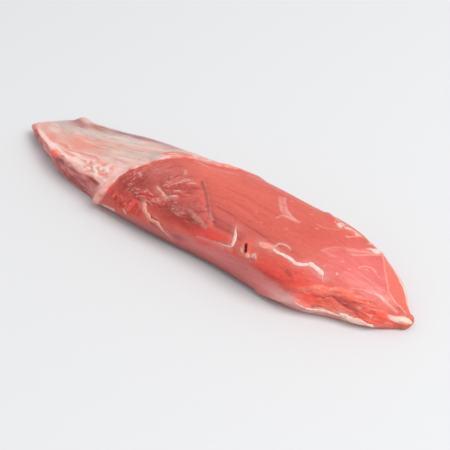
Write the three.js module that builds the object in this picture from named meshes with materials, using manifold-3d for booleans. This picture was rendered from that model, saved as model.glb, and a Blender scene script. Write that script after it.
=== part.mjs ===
// Raw shoulder tender steak: one whole muscle from the beef shoulder, lying on its flat underside.
// Units are millimetres. +X runs from the cut end to the tip, +Y from the near side to the far side,
// +Z is up. The origin is under the middle of the steak, on the surface it rests on.
import * as THREE from "three";
import { mergeVertices } from "three/addons/utils/BufferGeometryUtils.js";
import Module from "manifold-3d";

// Sections across the muscle, from the cut end to the tip. near and far are the widest points in plan,
// crest is the height, place says how far across the crest lies, belt holds the heights of the widest
// points, and square says how boxy the near and far shoulders are (2 is an ellipse).
const SECTIONS = [
  { near: [-126, 2], far: [-107, 22], crest: 8, place: 0.55, belt: [4.5, 4.5], square: [4.2, 3.4] },
  { near: [-111, -6], far: [-93, 24.5], crest: 12, place: 0.6, belt: [6, 6], square: [4.2, 3.0] },
  { near: [-81, -19], far: [-72, 25.5], crest: 16.5, place: 0.62, belt: [8, 8], square: [3.8, 2.8] },
  { near: [-48, -24.5], far: [-44, 27], crest: 23, place: 0.62, belt: [9, 10], square: [2.9, 2.6] },
  { near: [-13, -26.5], far: [-11, 26.5], crest: 28.5, place: 0.62, belt: [10, 11], square: [2.5, 2.5] },
  { near: [25, -25.5], far: [25, 26], crest: 31, place: 0.62, belt: [10, 11], square: [2.4, 2.5] },
  { near: [57, -27], far: [57, 26], crest: 30.5, place: 0.6, belt: [10, 11], square: [2.4, 2.5] },
  { near: [76, -25.6], far: [76, 27], crest: 28, place: 0.58, belt: [9, 10], square: [2.4, 2.5] },
  { near: [94, -18], far: [94, 23.5], crest: 23.5, place: 0.56, belt: [8, 9], square: [2.5, 2.5] },
  { near: [113, -11.5], far: [113, 15.5], crest: 15, place: 0.52, belt: [6, 6], square: [2.7, 2.6] },
  { near: [123.5, -4], far: [124.5, 4], crest: 6.8, place: 0.5, belt: [3.4, 3.4], square: [2.6, 2.6] },
];
// How far the feet stand in from the widest points, here and near the tip, and where that changes.
const UNDERCUT = 5;
const TIP_UNDERCUT = { inset: 1.6, from: 60, to: 96 };
const CUT_END_BULGE = [-1.5, 0.7]; // how far the cut end stands out past its section, in x and y
const TIP_BULGE = [3.5, 0.5];

// Steps of the skin along the muscle, over it, across its underside and in its two ends.
const ALONG_STEPS = 92;
const OVER_STEPS = 38;
const UNDER_STEPS = 8;
const END_RINGS = 3;
const NEIGHBOUR = 0.5; // how far apart points are compared to find a direction

// Places on the surface are [along, girth]: millimetres along the muscle, and round it from its near foot.
// The silver membrane covers the thin end up to this edge, where the muscle stands higher.
const MEMBRANE_EDGE = [
  [-50, 2], [-47.5, 8], [-44, 13], [-40.6, 18.5], [-38, 23], [-36, 28.5], [-34.5, 33], [-30.4, 40],
  [-26, 47.5], [-23, 53.5], [-17.5, 59], [-10, 62], [2, 64], [14, 69], [34, 80],
];
const MEMBRANE_STEP = 2;
const MEMBRANE_LIP = { height: 1.2, width: 2.2 };
const EAR = { from: 16, to: 27, wider: 0.5 }; // the rolled edge widens to an ear at its near end
const STEP_SLOPE = 3; // how far from the edge the membrane lies at its lowest
const STEP_FADE = 34; // how far from the edge the thin end is back at its own height
const FAR_STEP = { from: 42, to: 60, share: 0.2 }; // the step is low over the far shoulder

// Long valleys between bundles of fibres, and creases across them.
const VALLEYS = [
  { route: [[18, 36], [28, 36], [47, 35], [66, 34]], depth: 0.7, width: 2.6 },
  { route: [[12, 42], [26, 44], [38, 43], [48, 41]], depth: 0.5, width: 3 },
  { route: [[18, 50], [32, 50], [50, 49]], depth: 0.5, width: 3 },
  { route: [[27, 28], [35, 28], [42, 28]], depth: 0.8, width: 2.2 },
  { route: [[4.6, 47.1], [10.4, 42.4], [14, 38.8], [20.1, 32.4], [25.4, 28.8]], depth: 1, width: 2 },
  { route: [[-26, 31], [-15, 30], [-5, 28], [10, 27]], depth: 0.9, width: 3 },
  { route: [[-22, 22], [-9, 23], [2, 23], [14, 25]], depth: 0.8, width: 2.4 },
  { route: [[94, 15], [97.8, 11.6], [99.9, 10.7], [103.6, 9.5], [105.3, 8.5]], depth: 0.8, width: 1.5 },
  { route: [[-58, 56], [-20, 74], [20, 76], [62, 72], [90, 60]], depth: 0.6, width: 3.4 },
  { route: [[-50, 72], [-10, 85], [40, 88], [74, 83]], depth: 0.6, width: 3.4 },
  { route: [[-104, 46], [-80, 56], [-50, 67], [-20, 77]], depth: 0.6, width: 3 },
];

// Raised edges: the fold of the near wall, the top and the fatty foot of the torn face near the tip,
// the far seam, the tip's ridge and the near ridge of the thin end.
const EDGES = [
  { route: [[-46, 7], [-15, 12], [-2, 13], [8, 16], [20, 18.5], [34, 20], [50, 20.5], [60, 19.5], [70, 17]],
    height: 0.7, width: 3 },
  { route: [[73, 16.6], [81, 18], [88, 19.5], [102, 19], [107, 17.6], [111, 16], [115.4, 12.3], [117, 9.6]],
    height: 0.6, width: 2.2 },
  { route: [[58, 5], [70, 7.5], [77, 9.6], [81, 8.2], [84, 6.6], [90, 6.8], [96, 5.8], [100, 6], [110, 5.2],
    [114, 3.8]], height: 1.1, width: 2.2 },
  { route: [[66, 70], [73, 64], [81, 60], [89, 55], [96, 50]], height: 0.9, width: 2.4 },
  { route: [[98.5, 50], [101, 45.5], [104.7, 37.4], [110.6, 27.7], [115.4, 19.8], [119.7, 15]],
    height: 0.9, width: 2 },
  { route: [[-113, 12], [-105.8, 12.8], [-98, 14], [-90, 15], [-82, 15.2], [-75, 18], [-68, 19.2],
    [-60.8, 18], [-51.7, 20.4]], height: 0.8, width: 2.2 },
];

// Broad hollows and swellings: centre, reach along and round, and height.
const SWELLINGS = [
  { centre: [12, 22], reach: [22, 4], height: -1.1 }, // the torn red hollow above the near wall
  { centre: [25, 10], reach: [34, 4], height: -0.7 }, // the near wall, drawn in below its fold
  { centre: [-75, 9], reach: [24, 3.4], height: -0.7 }, // the cut face below the thin end's ridge
  { centre: [-89, 7], reach: [2.6, 5], height: -0.9 }, // the notch where that cut face begins
  { centre: [-82, 25], reach: [22, 6], height: -1 }, // the trough behind that ridge
  { centre: [-80, 33], reach: [28, 8], height: -0.7 }, // the dished top of the thin end
  { centre: [-45, 15], reach: [4, 7], height: 0.9 }, // the thick near end of the membrane's rolled edge
  { centre: [44, 27], reach: [5, 4], height: 0.9 }, // the knuckle beside the slit
  { centre: [99, 12.5], reach: [15, 4], height: -0.6 }, // the torn face near the tip
  { centre: [-108, 39], reach: [8, 5], height: 2.4 }, // the lobe at the far corner of the cut end
  { centre: [-106, 31], reach: [8, 3], height: -0.7 }, // the dip beside that lobe
];

// Crags of the torn faces, as crossed waves inside a soft-edged patch.
const CRAGS = [
  { centre: [99, 13], reach: [14, 5], height: 0.6, pitch: [5.5, 4.5] },
  { centre: [-26, 17], reach: [18, 8], height: 0.4, pitch: [7, 5] },
  { centre: [-74, 10], reach: [28, 5], height: 0.5, pitch: [8, 9] },
];

// Strands and lumps of fat on the surface: [along, girth, half width] at each point.
const STRANDS = [
  [[52, 30.8, 1], [54, 31, 1.7], [57, 31.5, 1.8], [60, 31.6, 0.9], [65, 31, 0.8], [70, 30, 0.9],
    [73.7, 28.5, 0.9], [77, 28.9, 0.9], [79.6, 29.7, 1.5], [81.2, 28.9, 1.2], [83.8, 27, 1.6],
    [86.4, 25, 0.8]],
  [[37.4, 31, 0.5], [38.4, 28.8, 1.2], [39.2, 26.8, 1.3], [39.8, 24.2, 0.9], [38.6, 22.5, 0.6]],
  [[-15, 22.6, 0.8], [-13.8, 20.8, 1.4], [-11.6, 18.2, 1.5], [-9.4, 17, 1.2], [-8, 15.6, 1.5], [-5, 15.9, 1],
    [-2.6, 15.4, 1.1], [0, 13.4, 1], [2.8, 11, 1]],
  [[-13.2, 32.8, 0.7], [-10.6, 32, 0.9], [-7.4, 31.1, 1], [-4.6, 30, 0.9]],
  [[44.2, 25.2, 0.7], [45.3, 24.1, 1.2], [46.2, 23.2, 0.7]],
  [[48, 23.8, 0.8], [50, 22.9, 1.1], [52.4, 24, 0.8], [54.2, 24.6, 0.7]],
  [[79, 9.4, 0.4], [82, 7.6, 0.5], [84.6, 6.6, 0.6], [89.7, 7, 0.6], [95.6, 6, 0.6], [99, 5.6, 0.5]],
  [[98.6, 6, 0.6], [101, 5.6, 1.2], [105, 5, 1.7], [109, 4.5, 1.9], [112.6, 3.9, 1.4], [113.8, 3.2, 0.7]],
];
const STRAND_SIDES = 8;
const STRAND_STEPS = 3; // rings between two points of a strand
const STRAND_FLATNESS = 0.6;
const STRAND_SINK = 0.25; // of its half width

// The open slit in the near shoulder.
const SLIT = { from: [46.2, 27.8], to: [47.8, 23.2], width: 1.3, depth: 3.5 };

const MUSCLE = new THREE.MeshStandardMaterial({ color: 0xc4584e, roughness: 0.38, metalness: 0 });

const wasm = await Module();
wasm.setup();

const smooth = (edge0, edge1, x) => {
  const t = THREE.MathUtils.clamp((x - edge0) / (edge1 - edge0), 0, 1);
  return t * t * (3 - 2 * t);
};
const bell = (x) => Math.exp(-x * x);

// One section as a plain list of its ten sizes, so that neighbours can be blended.
const sizesOf = (s) => [...s.near, ...s.far, s.crest, s.place, ...s.belt, ...s.square];
const SIZES = SECTIONS.map(sizesOf);
const STATIONS = SECTIONS.map((s) => (s.near[0] + s.far[0]) / 2);

// The ten sizes at a place along the muscle, on a Catmull-Rom spline through the sections.
function sizesAt(along) {
  const last = STATIONS.length - 1;
  let i = 0;
  while (i < last - 1 && along > STATIONS[i + 1]) i += 1;
  const f = THREE.MathUtils.clamp((along - STATIONS[i]) / (STATIONS[i + 1] - STATIONS[i]), 0, 1);
  return SIZES[i].map((b, k) => {
    const c = SIZES[i + 1][k];
    const a = i > 0 ? SIZES[i - 1][k] : 2 * b - c;
    const d = i < last - 1 ? SIZES[i + 2][k] : 2 * c - b;
    const square = 2 * a - 5 * b + 4 * c - d;
    const cube = 3 * b - a - 3 * c + d;
    return 0.5 * (2 * b + (c - a) * f + square * f ** 2 + cube * f ** 3);
  });
}

// The outline at a place along the muscle, from the near foot over the top to the far foot,
// with the girth reached at each of its points.
function outlineAt(along) {
  const [nearX, nearY, farX, farY, crest, place, nearBelt, farBelt, nearSquare, farSquare] = sizesAt(along);
  const near = new THREE.Vector2(nearX, nearY);
  const far = new THREE.Vector2(farX, farY);
  const tipward = smooth(TIP_UNDERCUT.from, TIP_UNDERCUT.to, (nearX + farX) / 2);
  const inset = THREE.MathUtils.lerp(UNDERCUT, TIP_UNDERCUT.inset, tipward) / near.distanceTo(far);
  const footSteps = 10;
  const overSteps = 100;
  const flat = [];
  for (let k = 0; k <= footSteps; k += 1) {
    const turn = ((k / footSteps) * Math.PI) / 2;
    flat.push([inset * (1 - Math.sin(turn)), nearBelt * (1 - Math.cos(turn))]);
  }
  for (let k = 1; k < overSteps; k += 1) {
    const turn = (k / overSteps) * Math.PI;
    const isNear = Math.cos(turn) > 0;
    const power = 2 / (isNear ? nearSquare : farSquare);
    const reach = Math.abs(Math.cos(turn)) ** power;
    const belt = isNear ? nearBelt : farBelt;
    const across = isNear ? place * (1 - reach) : place + (1 - place) * reach;
    flat.push([across, belt + (crest - belt) * Math.sin(turn) ** power]);
  }
  for (let k = 0; k <= footSteps; k += 1) {
    const turn = ((k / footSteps) * Math.PI) / 2;
    flat.push([1 - inset * (1 - Math.cos(turn)), farBelt * (1 - Math.sin(turn))]);
  }
  const points = flat.map(([across, z]) => {
    const plan = near.clone().lerp(far, across);
    return new THREE.Vector3(plan.x, plan.y, z);
  });
  const girths = [0];
  for (let k = 1; k < points.length; k += 1) girths.push(girths[k - 1] + points[k].distanceTo(points[k - 1]));
  return { points, girths, girth: girths[girths.length - 1] };
}

// The point of an outline at a girth.
function pointOf(outline, girth) {
  const { points, girths } = outline;
  let k = 1;
  while (k < girths.length - 1 && girths[k] < girth) k += 1;
  const f = THREE.MathUtils.clamp((girth - girths[k - 1]) / (girths[k] - girths[k - 1]), 0, 1);
  return points[k - 1].clone().lerp(points[k], f);
}

// The outline at a place along the muscle with its two close neighbours, which give the way along.
function sliceAt(along) {
  const [before, here, after] = [-NEIGHBOUR, 0, NEIGHBOUR].map((step) => outlineAt(along + step));
  return { along, here, before, after };
}

// The smooth surface of a slice at a girth: its point and the way out of it.
function surfaceOf(slice, girth) {
  const point = pointOf(slice.here, girth);
  const alongWay = pointOf(slice.after, girth).sub(pointOf(slice.before, girth));
  const roundWay = pointOf(slice.here, girth + NEIGHBOUR).sub(pointOf(slice.here, girth - NEIGHBOUR));
  return { point, out: alongWay.cross(roundWay).normalize() };
}

// The real surface of a slice at a girth, raised or sunk by its relief and by a further rise.
function reliefPoint(slice, girth, rise = 0) {
  const { point, out } = surfaceOf(slice, girth);
  return point.addScaledVector(out, reliefAt(slice.along, girth, slice.here.girth) + rise);
}

// How far [along, girth] lies from a route, and on which side: positive is left of the way it runs.
function offRoute(route, along, girth) {
  let best = { distance: Infinity, side: 1 };
  for (let k = 1; k < route.length; k += 1) {
    const [a0, g0] = route[k - 1];
    const [da, dg] = [route[k][0] - a0, route[k][1] - g0];
    const f = THREE.MathUtils.clamp(((along - a0) * da + (girth - g0) * dg) / (da * da + dg * dg), 0, 1);
    const [oa, og] = [along - a0 - f * da, girth - g0 - f * dg];
    const distance = Math.hypot(oa, og);
    if (distance < best.distance) best = { distance, side: Math.sign(da * og - dg * oa) || 1 };
  }
  return best;
}

// How much of a soft-edged patch covers [along, girth].
function inPatch({ centre, reach }, along, girth) {
  return bell(Math.hypot((along - centre[0]) / reach[0], (girth - centre[1]) / reach[1]));
}

// How far the real surface stands out of the smooth one.
function reliefAt(along, girth, wholeGirth) {
  const { distance, side } = offRoute(MEMBRANE_EDGE, along, girth);
  const stepped = smooth(0, STEP_SLOPE, distance) * (1 - smooth(STEP_SLOPE, STEP_FADE, distance));
  const stepShare = THREE.MathUtils.lerp(1, FAR_STEP.share, smooth(FAR_STEP.from, FAR_STEP.to, girth));
  const lipWidth = MEMBRANE_LIP.width * (1 + EAR.wider * (1 - smooth(EAR.from, EAR.to, girth)));
  let height = MEMBRANE_LIP.height * bell(distance / lipWidth);
  if (side > 0) height -= MEMBRANE_STEP * stepped * stepShare;
  for (const v of VALLEYS) height -= v.depth * bell(offRoute(v.route, along, girth).distance / v.width);
  for (const e of EDGES) height += e.height * bell(offRoute(e.route, along, girth).distance / e.width);
  for (const s of SWELLINGS) height += s.height * inPatch(s, along, girth);
  for (const c of CRAGS) {
    const wave = Math.sin((2 * Math.PI * along) / c.pitch[0] + 0.8 * girth) *
      Math.sin((2 * Math.PI * girth) / c.pitch[1] + 0.5 * along);
    height += c.height * wave * inPatch(c, along, girth);
  }
  const clearOfFoot = smooth(1, 6, girth) * smooth(1, 6, wholeGirth - girth);
  return height * clearOfFoot;
}

// One ring of the skin: over the top with its relief, then back across the flat underside.
function ringAt(along) {
  const slice = sliceAt(along);
  const ring = [];
  for (let k = 0; k <= OVER_STEPS; k += 1) ring.push(reliefPoint(slice, (k / OVER_STEPS) * slice.here.girth));
  const [nearFoot, farFoot] = [ring[0], ring[OVER_STEPS]];
  for (let k = 1; k < UNDER_STEPS; k += 1) ring.push(farFoot.clone().lerp(nearFoot, k / UNDER_STEPS));
  return ring;
}

// Rings that close an end: each is smaller and further out, like a rounded cap.
function endRings(ring, bulge) {
  const middle = ring.reduce((sum, p) => sum.add(p), new THREE.Vector3()).divideScalar(ring.length);
  const outward = new THREE.Vector3(bulge[0], bulge[1], 0);
  const rings = [];
  for (let k = 1; k <= END_RINGS; k += 1) {
    const turn = ((k / (END_RINGS + 1)) * Math.PI) / 2;
    const shift = outward.clone().multiplyScalar(Math.sin(turn));
    rings.push(ring.map((p) => middle.clone().lerp(p, Math.cos(turn)).add(shift)));
  }
  return { rings, pole: middle.add(outward) };
}

// A closed skin over rings of equal length, with a fan to a pole at each end.
function skin(rings, firstPole, lastPole) {
  const count = rings[0].length;
  const points = [firstPole, ...rings.flat(), lastPole];
  const lastIndex = points.length - 1;
  const at = (ring, k) => 1 + ring * count + (k % count);
  const triangles = [];
  for (let k = 0; k < count; k += 1) {
    triangles.push(0, at(0, k), at(0, k + 1));
    triangles.push(lastIndex, at(rings.length - 1, k + 1), at(rings.length - 1, k));
    for (let ring = 0; ring < rings.length - 1; ring += 1) {
      triangles.push(at(ring, k), at(ring + 1, k + 1), at(ring, k + 1));
      triangles.push(at(ring, k), at(ring + 1, k), at(ring + 1, k + 1));
    }
  }
  const geometry = new THREE.BufferGeometry().setFromPoints(points);
  geometry.setIndex(triangles);
  return geometry;
}

// The muscle without its strands and slit.
function muscleGeometry() {
  const [first, last] = [STATIONS[0], STATIONS[STATIONS.length - 1]];
  const rings = [];
  for (let k = 0; k <= ALONG_STEPS; k += 1) {
    rings.push(ringAt(THREE.MathUtils.lerp(first, last, k / ALONG_STEPS)));
  }
  const cutEnd = endRings(rings[0], CUT_END_BULGE);
  const tip = endRings(rings[rings.length - 1], TIP_BULGE);
  return skin([...cutEnd.rings.reverse(), ...rings, ...tip.rings], cutEnd.pole, tip.pole);
}

// A flattened strand of fat that lies along its route, half sunk in the surface.
function strandGeometry(route) {
  const spline = new THREE.CatmullRomCurve3(route.map((sizes) => new THREE.Vector3(...sizes)));
  const steps = (route.length - 1) * STRAND_STEPS;
  const places = spline.getPoints(steps);
  const spots = places.map(({ x: along, y: girth, z: half }) => {
    const slice = sliceAt(along);
    return { centre: reliefPoint(slice, girth, -STRAND_SINK * half), out: surfaceOf(slice, girth).out, half };
  });
  const rings = spots.map(({ centre, out, half }, k) => {
    const before = spots[Math.max(k - 1, 0)].centre;
    const after = spots[Math.min(k + 1, steps)].centre;
    const side = new THREE.Vector3().crossVectors(after.clone().sub(before), out).normalize();
    const ring = [];
    for (let j = 0; j < STRAND_SIDES; j += 1) {
      const turn = (j / STRAND_SIDES) * 2 * Math.PI;
      ring.push(centre.clone()
        .addScaledVector(side, half * Math.cos(turn))
        .addScaledVector(out, half * STRAND_FLATNESS * Math.sin(turn)));
    }
    return ring;
  });
  const poleBeyond = (end, inner) => end.centre.clone().add(
    end.centre.clone().sub(inner.centre).normalize().multiplyScalar(0.6 * end.half));
  return skin(rings, poleBeyond(spots[0], spots[1]), poleBeyond(spots[steps], spots[steps - 1]));
}

// A thin lens-shaped blade along the slit, from above the surface to the slit's floor.
function slitGeometry() {
  const start = surfaceOf(sliceAt(SLIT.from[0]), SLIT.from[1]);
  const end = surfaceOf(sliceAt(SLIT.to[0]), SLIT.to[1]);
  const way = end.point.clone().sub(start.point);
  const out = start.out.clone().add(end.out).normalize();
  const side = new THREE.Vector3().crossVectors(way, out).normalize();
  const half = SLIT.width / 2;
  const lens = new THREE.Shape();
  lens.moveTo(0, 0);
  lens.quadraticCurveTo(way.length() / 2, 2 * half, way.length(), 0);
  lens.quadraticCurveTo(way.length() / 2, -2 * half, 0, 0);
  const lensShape = { depth: 3 * SLIT.depth, bevelEnabled: false, curveSegments: 8 };
  const blade = new THREE.ExtrudeGeometry(lens, lensShape);
  const placed = new THREE.Matrix4().makeBasis(way.clone().normalize(), side.negate(), out);
  const floor = start.point.clone().addScaledVector(out, -SLIT.depth);
  return blade.applyMatrix4(placed.setPosition(floor));
}

// A closed geometry as a solid that can be joined and cut.
function solidOf(geometry) {
  geometry.deleteAttribute("normal");
  geometry.deleteAttribute("uv");
  const merged = mergeVertices(geometry, 1e-4);
  return new wasm.Manifold(new wasm.Mesh({
    numProp: 3,
    vertProperties: new Float32Array(merged.attributes.position.array),
    triVerts: new Uint32Array(merged.index.array),
  }));
}

// A solid's faces as a geometry.
function geometryOf(solid) {
  const { vertProperties, triVerts } = solid.getMesh();
  const geometry = new THREE.BufferGeometry();
  geometry.setAttribute("position", new THREE.BufferAttribute(vertProperties, 3));
  geometry.setIndex(new THREE.BufferAttribute(triVerts, 1));
  geometry.computeVertexNormals();
  return geometry;
}

function buildSteak() {
  let solid = solidOf(muscleGeometry());
  for (const route of STRANDS) solid = solid.add(solidOf(strandGeometry(route)));
  solid = solid.subtract(solidOf(slitGeometry()));
  const steak = new THREE.Mesh(geometryOf(solid), MUSCLE);
  steak.name = "shoulder_tender";
  return steak;
}

const group = new THREE.Group();
group.add(buildSteak());
export default group;
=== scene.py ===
"""Looks of a raw shoulder tender steak: one long tapered muscle lying on a plain pale floor.

Sizes are in millimetres until a mesh is made. A place on the surface is [along, girth]: along the muscle
from the cut end to the tip, and round it from its near foot, over the top, to its far foot.
"""
import math

import bpy
import numpy as np
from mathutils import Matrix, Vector


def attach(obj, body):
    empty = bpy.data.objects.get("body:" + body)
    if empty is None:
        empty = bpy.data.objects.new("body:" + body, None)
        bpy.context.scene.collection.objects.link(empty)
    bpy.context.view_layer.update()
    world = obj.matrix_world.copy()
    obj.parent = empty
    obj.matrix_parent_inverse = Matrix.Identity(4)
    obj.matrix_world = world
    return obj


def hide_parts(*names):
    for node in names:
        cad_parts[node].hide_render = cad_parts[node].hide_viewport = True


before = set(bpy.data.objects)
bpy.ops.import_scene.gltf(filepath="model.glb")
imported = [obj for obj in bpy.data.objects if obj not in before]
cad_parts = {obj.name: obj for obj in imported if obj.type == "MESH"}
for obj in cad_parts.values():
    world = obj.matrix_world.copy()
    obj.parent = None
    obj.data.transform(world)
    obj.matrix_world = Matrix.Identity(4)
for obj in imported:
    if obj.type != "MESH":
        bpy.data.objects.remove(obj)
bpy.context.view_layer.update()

MM = 0.001

# Sections across the muscle, from the cut end to the tip: near x, near y, far x, far y of the widest points,
# crest height, how far across the crest lies, near and far belt height, near and far squareness.
SECTIONS = np.array([
    [-126, 2, -107, 22, 8, 0.55, 4.5, 4.5, 4.2, 3.4],
    [-111, -6, -93, 24.5, 12, 0.6, 6, 6, 4.2, 3.0],
    [-81, -19, -72, 25.5, 16.5, 0.62, 8, 8, 3.8, 2.8],
    [-48, -24.5, -44, 27, 23, 0.62, 9, 10, 2.9, 2.6],
    [-13, -26.5, -11, 26.5, 28.5, 0.62, 10, 11, 2.5, 2.5],
    [25, -25.5, 25, 26, 31, 0.62, 10, 11, 2.4, 2.5],
    [57, -27, 57, 26, 30.5, 0.6, 10, 11, 2.4, 2.5],
    [76, -25.6, 76, 27, 28, 0.58, 9, 10, 2.4, 2.5],
    [94, -18, 94, 23.5, 23.5, 0.56, 8, 9, 2.5, 2.5],
    [113, -11.5, 113, 15.5, 15, 0.52, 6, 6, 2.7, 2.6],
    [123.5, -4, 124.5, 4, 6.8, 0.5, 3.4, 3.4, 2.6, 2.6],
])
STATIONS = (SECTIONS[:, 0] + SECTIONS[:, 2]) / 2
# How far the feet stand in from the widest points, here and near the tip.
UNDERCUT = 5
TIP_UNDERCUT = 1.6
TIP_UNDERCUT_FROM = 60
TIP_UNDERCUT_TO = 96
CUT_END_BULGE = np.array([-1.5, 0.7, 0])
TIP_BULGE = np.array([3.5, 0.5, 0])

# Steps of the mesh: rings along the muscle, columns over it and under it, rings of its rounded ends.
RINGS = 450
OVER = 168
UNDER = 24
END_RINGS = 8
UV_MARGIN = 0.01

# The silver membrane covers the thin end up to this edge, where the muscle stands higher.
MEMBRANE_EDGE = [
    [-50, 2], [-47.5, 8], [-44, 13], [-40.6, 18.5], [-38, 23], [-36, 28.5], [-34.5, 33], [-30.4, 40],
    [-26, 47.5], [-23, 53.5], [-17.5, 59], [-10, 62], [2, 64], [14, 69], [34, 80],
]
MEMBRANE_STEP = 2
LIP_HEIGHT = 1.3
LIP_WIDTH = 1.9
# The rolled edge widens to an ear at its near end, between these two distances round the muscle.
EAR_FROM = 16
EAR_TO = 27
# Past the edge the membrane drops by the step over one distance and rises again over the other.
STEP_SLOPE = 3
STEP_FADE = 34
# The step is lower past these distances round the muscle, and the lip breaks up.
STEP_FAR_FADE = (42, 60)
LIP_BREAK = (48, 56)
# The slant of the membrane's streaks, where the broad ones give way to the fine ones, and its crumbs, as
# relief and as colour.
STREAK_SLANT = 18
BROAD_STREAKS_END = (28, 38)
CRUMB_RELIEF = ([-54, 25], [9, 5.4], 12)
CRUMB_FIELD = ([-54, 25], [10, 6], 12)
# Where kinds of surface come in or end, as distances along the muscle.
CUT_SIDE_END = (-44, -48)
WALL_END = (82, 92)
TORN_START = (74, 84)
FOOT_START = (72, 88)
FOOT_END = (112, 115)
TIP_STRIP_START = (96, 98)
# Relief starts and is full at these distances from each foot.
RELIEF_START = (1, 6)
# The near ridge of the thin end, with its cut side below it.
CUT_RIDGE = [
    [-125, 8.6], [-119, 10.4], [-113, 12], [-105.8, 12.8], [-98, 14], [-90, 15], [-82, 15.2], [-75, 18],
    [-68, 19.2], [-60.8, 18], [-51.7, 20.4], [-45, 19],
]

# The fold over the near wall, which film covers.
WALL_FOLD = [
    [-46, 7], [-15, 12], [-2, 13], [8, 16], [20, 18.5], [34, 20], [50, 20.5], [60, 19.5], [70, 17],
    [78, 13], [86, 8],
]

# The torn face near the tip lies between its ridge and its fatty foot.
TORN_RIDGE = [
    [73, 16.6], [81, 18], [88, 19.5], [102, 19], [107, 17.6], [111, 16], [115.4, 12.3], [117, 9.6],
    [119.4, 7.2], [121, 4],
]
FATTY_FOOT = [
    [58, 5], [70, 7.5], [77, 9.6], [81, 8.2], [84, 6.6], [90, 6.8], [96, 5.8], [100, 6], [110, 5.2],
    [114, 3.8], [122, 2],
]
TIP_RIDGE = [[98.5, 50], [101, 45.5], [104.7, 37.4], [110.6, 27.7], [115.4, 19.8], [119.7, 15], [123, 12]]
TIP_RIM = [[100, 50], [105.3, 45], [111.5, 37.6], [115.6, 31.2], [120, 22], [123.4, 15.6]]
FAR_SEAM = [[66, 70], [73, 64], [81, 60], [89, 55], [96, 50]]
SEAM_CRUMBS = [[74, 63], [79, 60.4], [86, 57.4], [92, 53.4], [98, 48.6]]
CREASE = [[4.6, 47.1], [10.4, 42.4], [14, 38.8], [20.1, 32.4], [25.4, 28.8]]
TORN_CREASE = [[94, 15], [97.8, 11.6], [99.9, 10.7], [103.6, 9.5], [105.3, 8.5]]
# Long valleys between bundles of fibres, and creases: route, depth, width.
VALLEYS = [
    ([[18, 36], [28, 36], [47, 35], [66, 34]], 0.7, 2.6),
    ([[12, 42], [26, 44], [38, 43], [48, 41]], 0.5, 3),
    ([[18, 50], [32, 50], [50, 49]], 0.5, 3),
    ([[27, 28], [35, 28], [42, 28]], 0.8, 2.2),
    (CREASE, 1, 1.8),
    ([[-26, 31], [-15, 30], [-5, 28], [10, 27]], 0.9, 3),
    ([[-22, 22], [-9, 23], [2, 23], [14, 25]], 0.8, 2.4),
    (TORN_CREASE, 0.5, 1),
    ([[-58, 56], [-20, 74], [20, 76], [62, 72], [90, 60]], 0.6, 3.4),
    ([[-50, 72], [-10, 85], [40, 88], [74, 83]], 0.6, 3.4),
    ([[-104, 46], [-80, 56], [-50, 67], [-20, 77]], 0.6, 3),
]

# Raised edges: route, height, width.
EDGES = [
    (WALL_FOLD[:-2], 0.7, 3),
    (TORN_RIDGE[:-2], 0.5, 2.2),
    (FATTY_FOOT[:-1], 1, 2),
    (FAR_SEAM, 0.9, 2.4),
    (TIP_RIDGE[:-1], 0.7, 1.8),
    (CUT_RIDGE[2:-1], 0.9, 2),
]

# Broad hollows and swellings: centre, reach along and round, height.
SWELLINGS = [
    ([12, 22], [22, 4], -1.1),
    ([25, 10], [34, 4], -0.7),
    ([-75, 9], [24, 3.4], -0.7),
    ([-89, 7], [2.6, 5], -0.9),
    ([-82, 25], [22, 6], -1),
    ([-80, 33], [28, 8], -0.7),
    ([-45, 15], [4, 7], 0.9),
    ([44, 27], [5, 4], 0.9),
    ([99, 12.5], [15, 4], -0.6),
    ([-108, 39], [8, 5], 2.4),
    ([-106, 31], [8, 3], -0.7),
]

# Where the surface is torn: centre, reach, slant, strength.
TORN = [
    ([100, 13], [17, 6], -8, 1),
    ([-30, 16], [16, 5], 0, 0.9),
    ([12, 22], [24, 4], 0, 0.4),
    ([68, 24], [16, 4], -5, 0.7),
    ([47, 23], [9, 3], 0, 0.8),
]

# Fields of wrinkles: centre, reach, slant of the lines, their length and gap, strength.
WRINKLES = [
    ([-27, 31], [10, 12], 72, 7, 1.7, 0.9),
    ([-14, 26], [12, 5.6], 12, 8, 1.6, 1),
    ([-2, 28], [11, 5.4], 22, 9, 1.6, 0.9),
    ([8, 26.6], [10, 4.6], 8, 8, 1.5, 0.9),
    ([15, 31], [10, 6], 36, 9, 1.9, 0.7),
    ([17.6, 26.4], [7, 3], 15, 5, 1.5, 0.9),
    ([-17, 45], [12, 9], 50, 10, 2.4, 0.6),
    ([-25, 17], [14, 5], 70, 5, 1.5, 0.9),
]

# Wrinkles that spread from one pucker.
FAN_CENTRE = (-13, 31)
FAN_FIELD = ([-2, 39], [15, 9])
# The slit beside the tag, with its raised rim.
SLIT = ([46.4, 27], [47.6, 24.2])
SLIT_DEPTH = 3
SLIT_WIDTH = 0.6
SLIT_RIM = 0.7

# The light on the top of the steak. At 1 a perfectly white surface would just look white.
LIGHT_GAIN = 1.35
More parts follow.
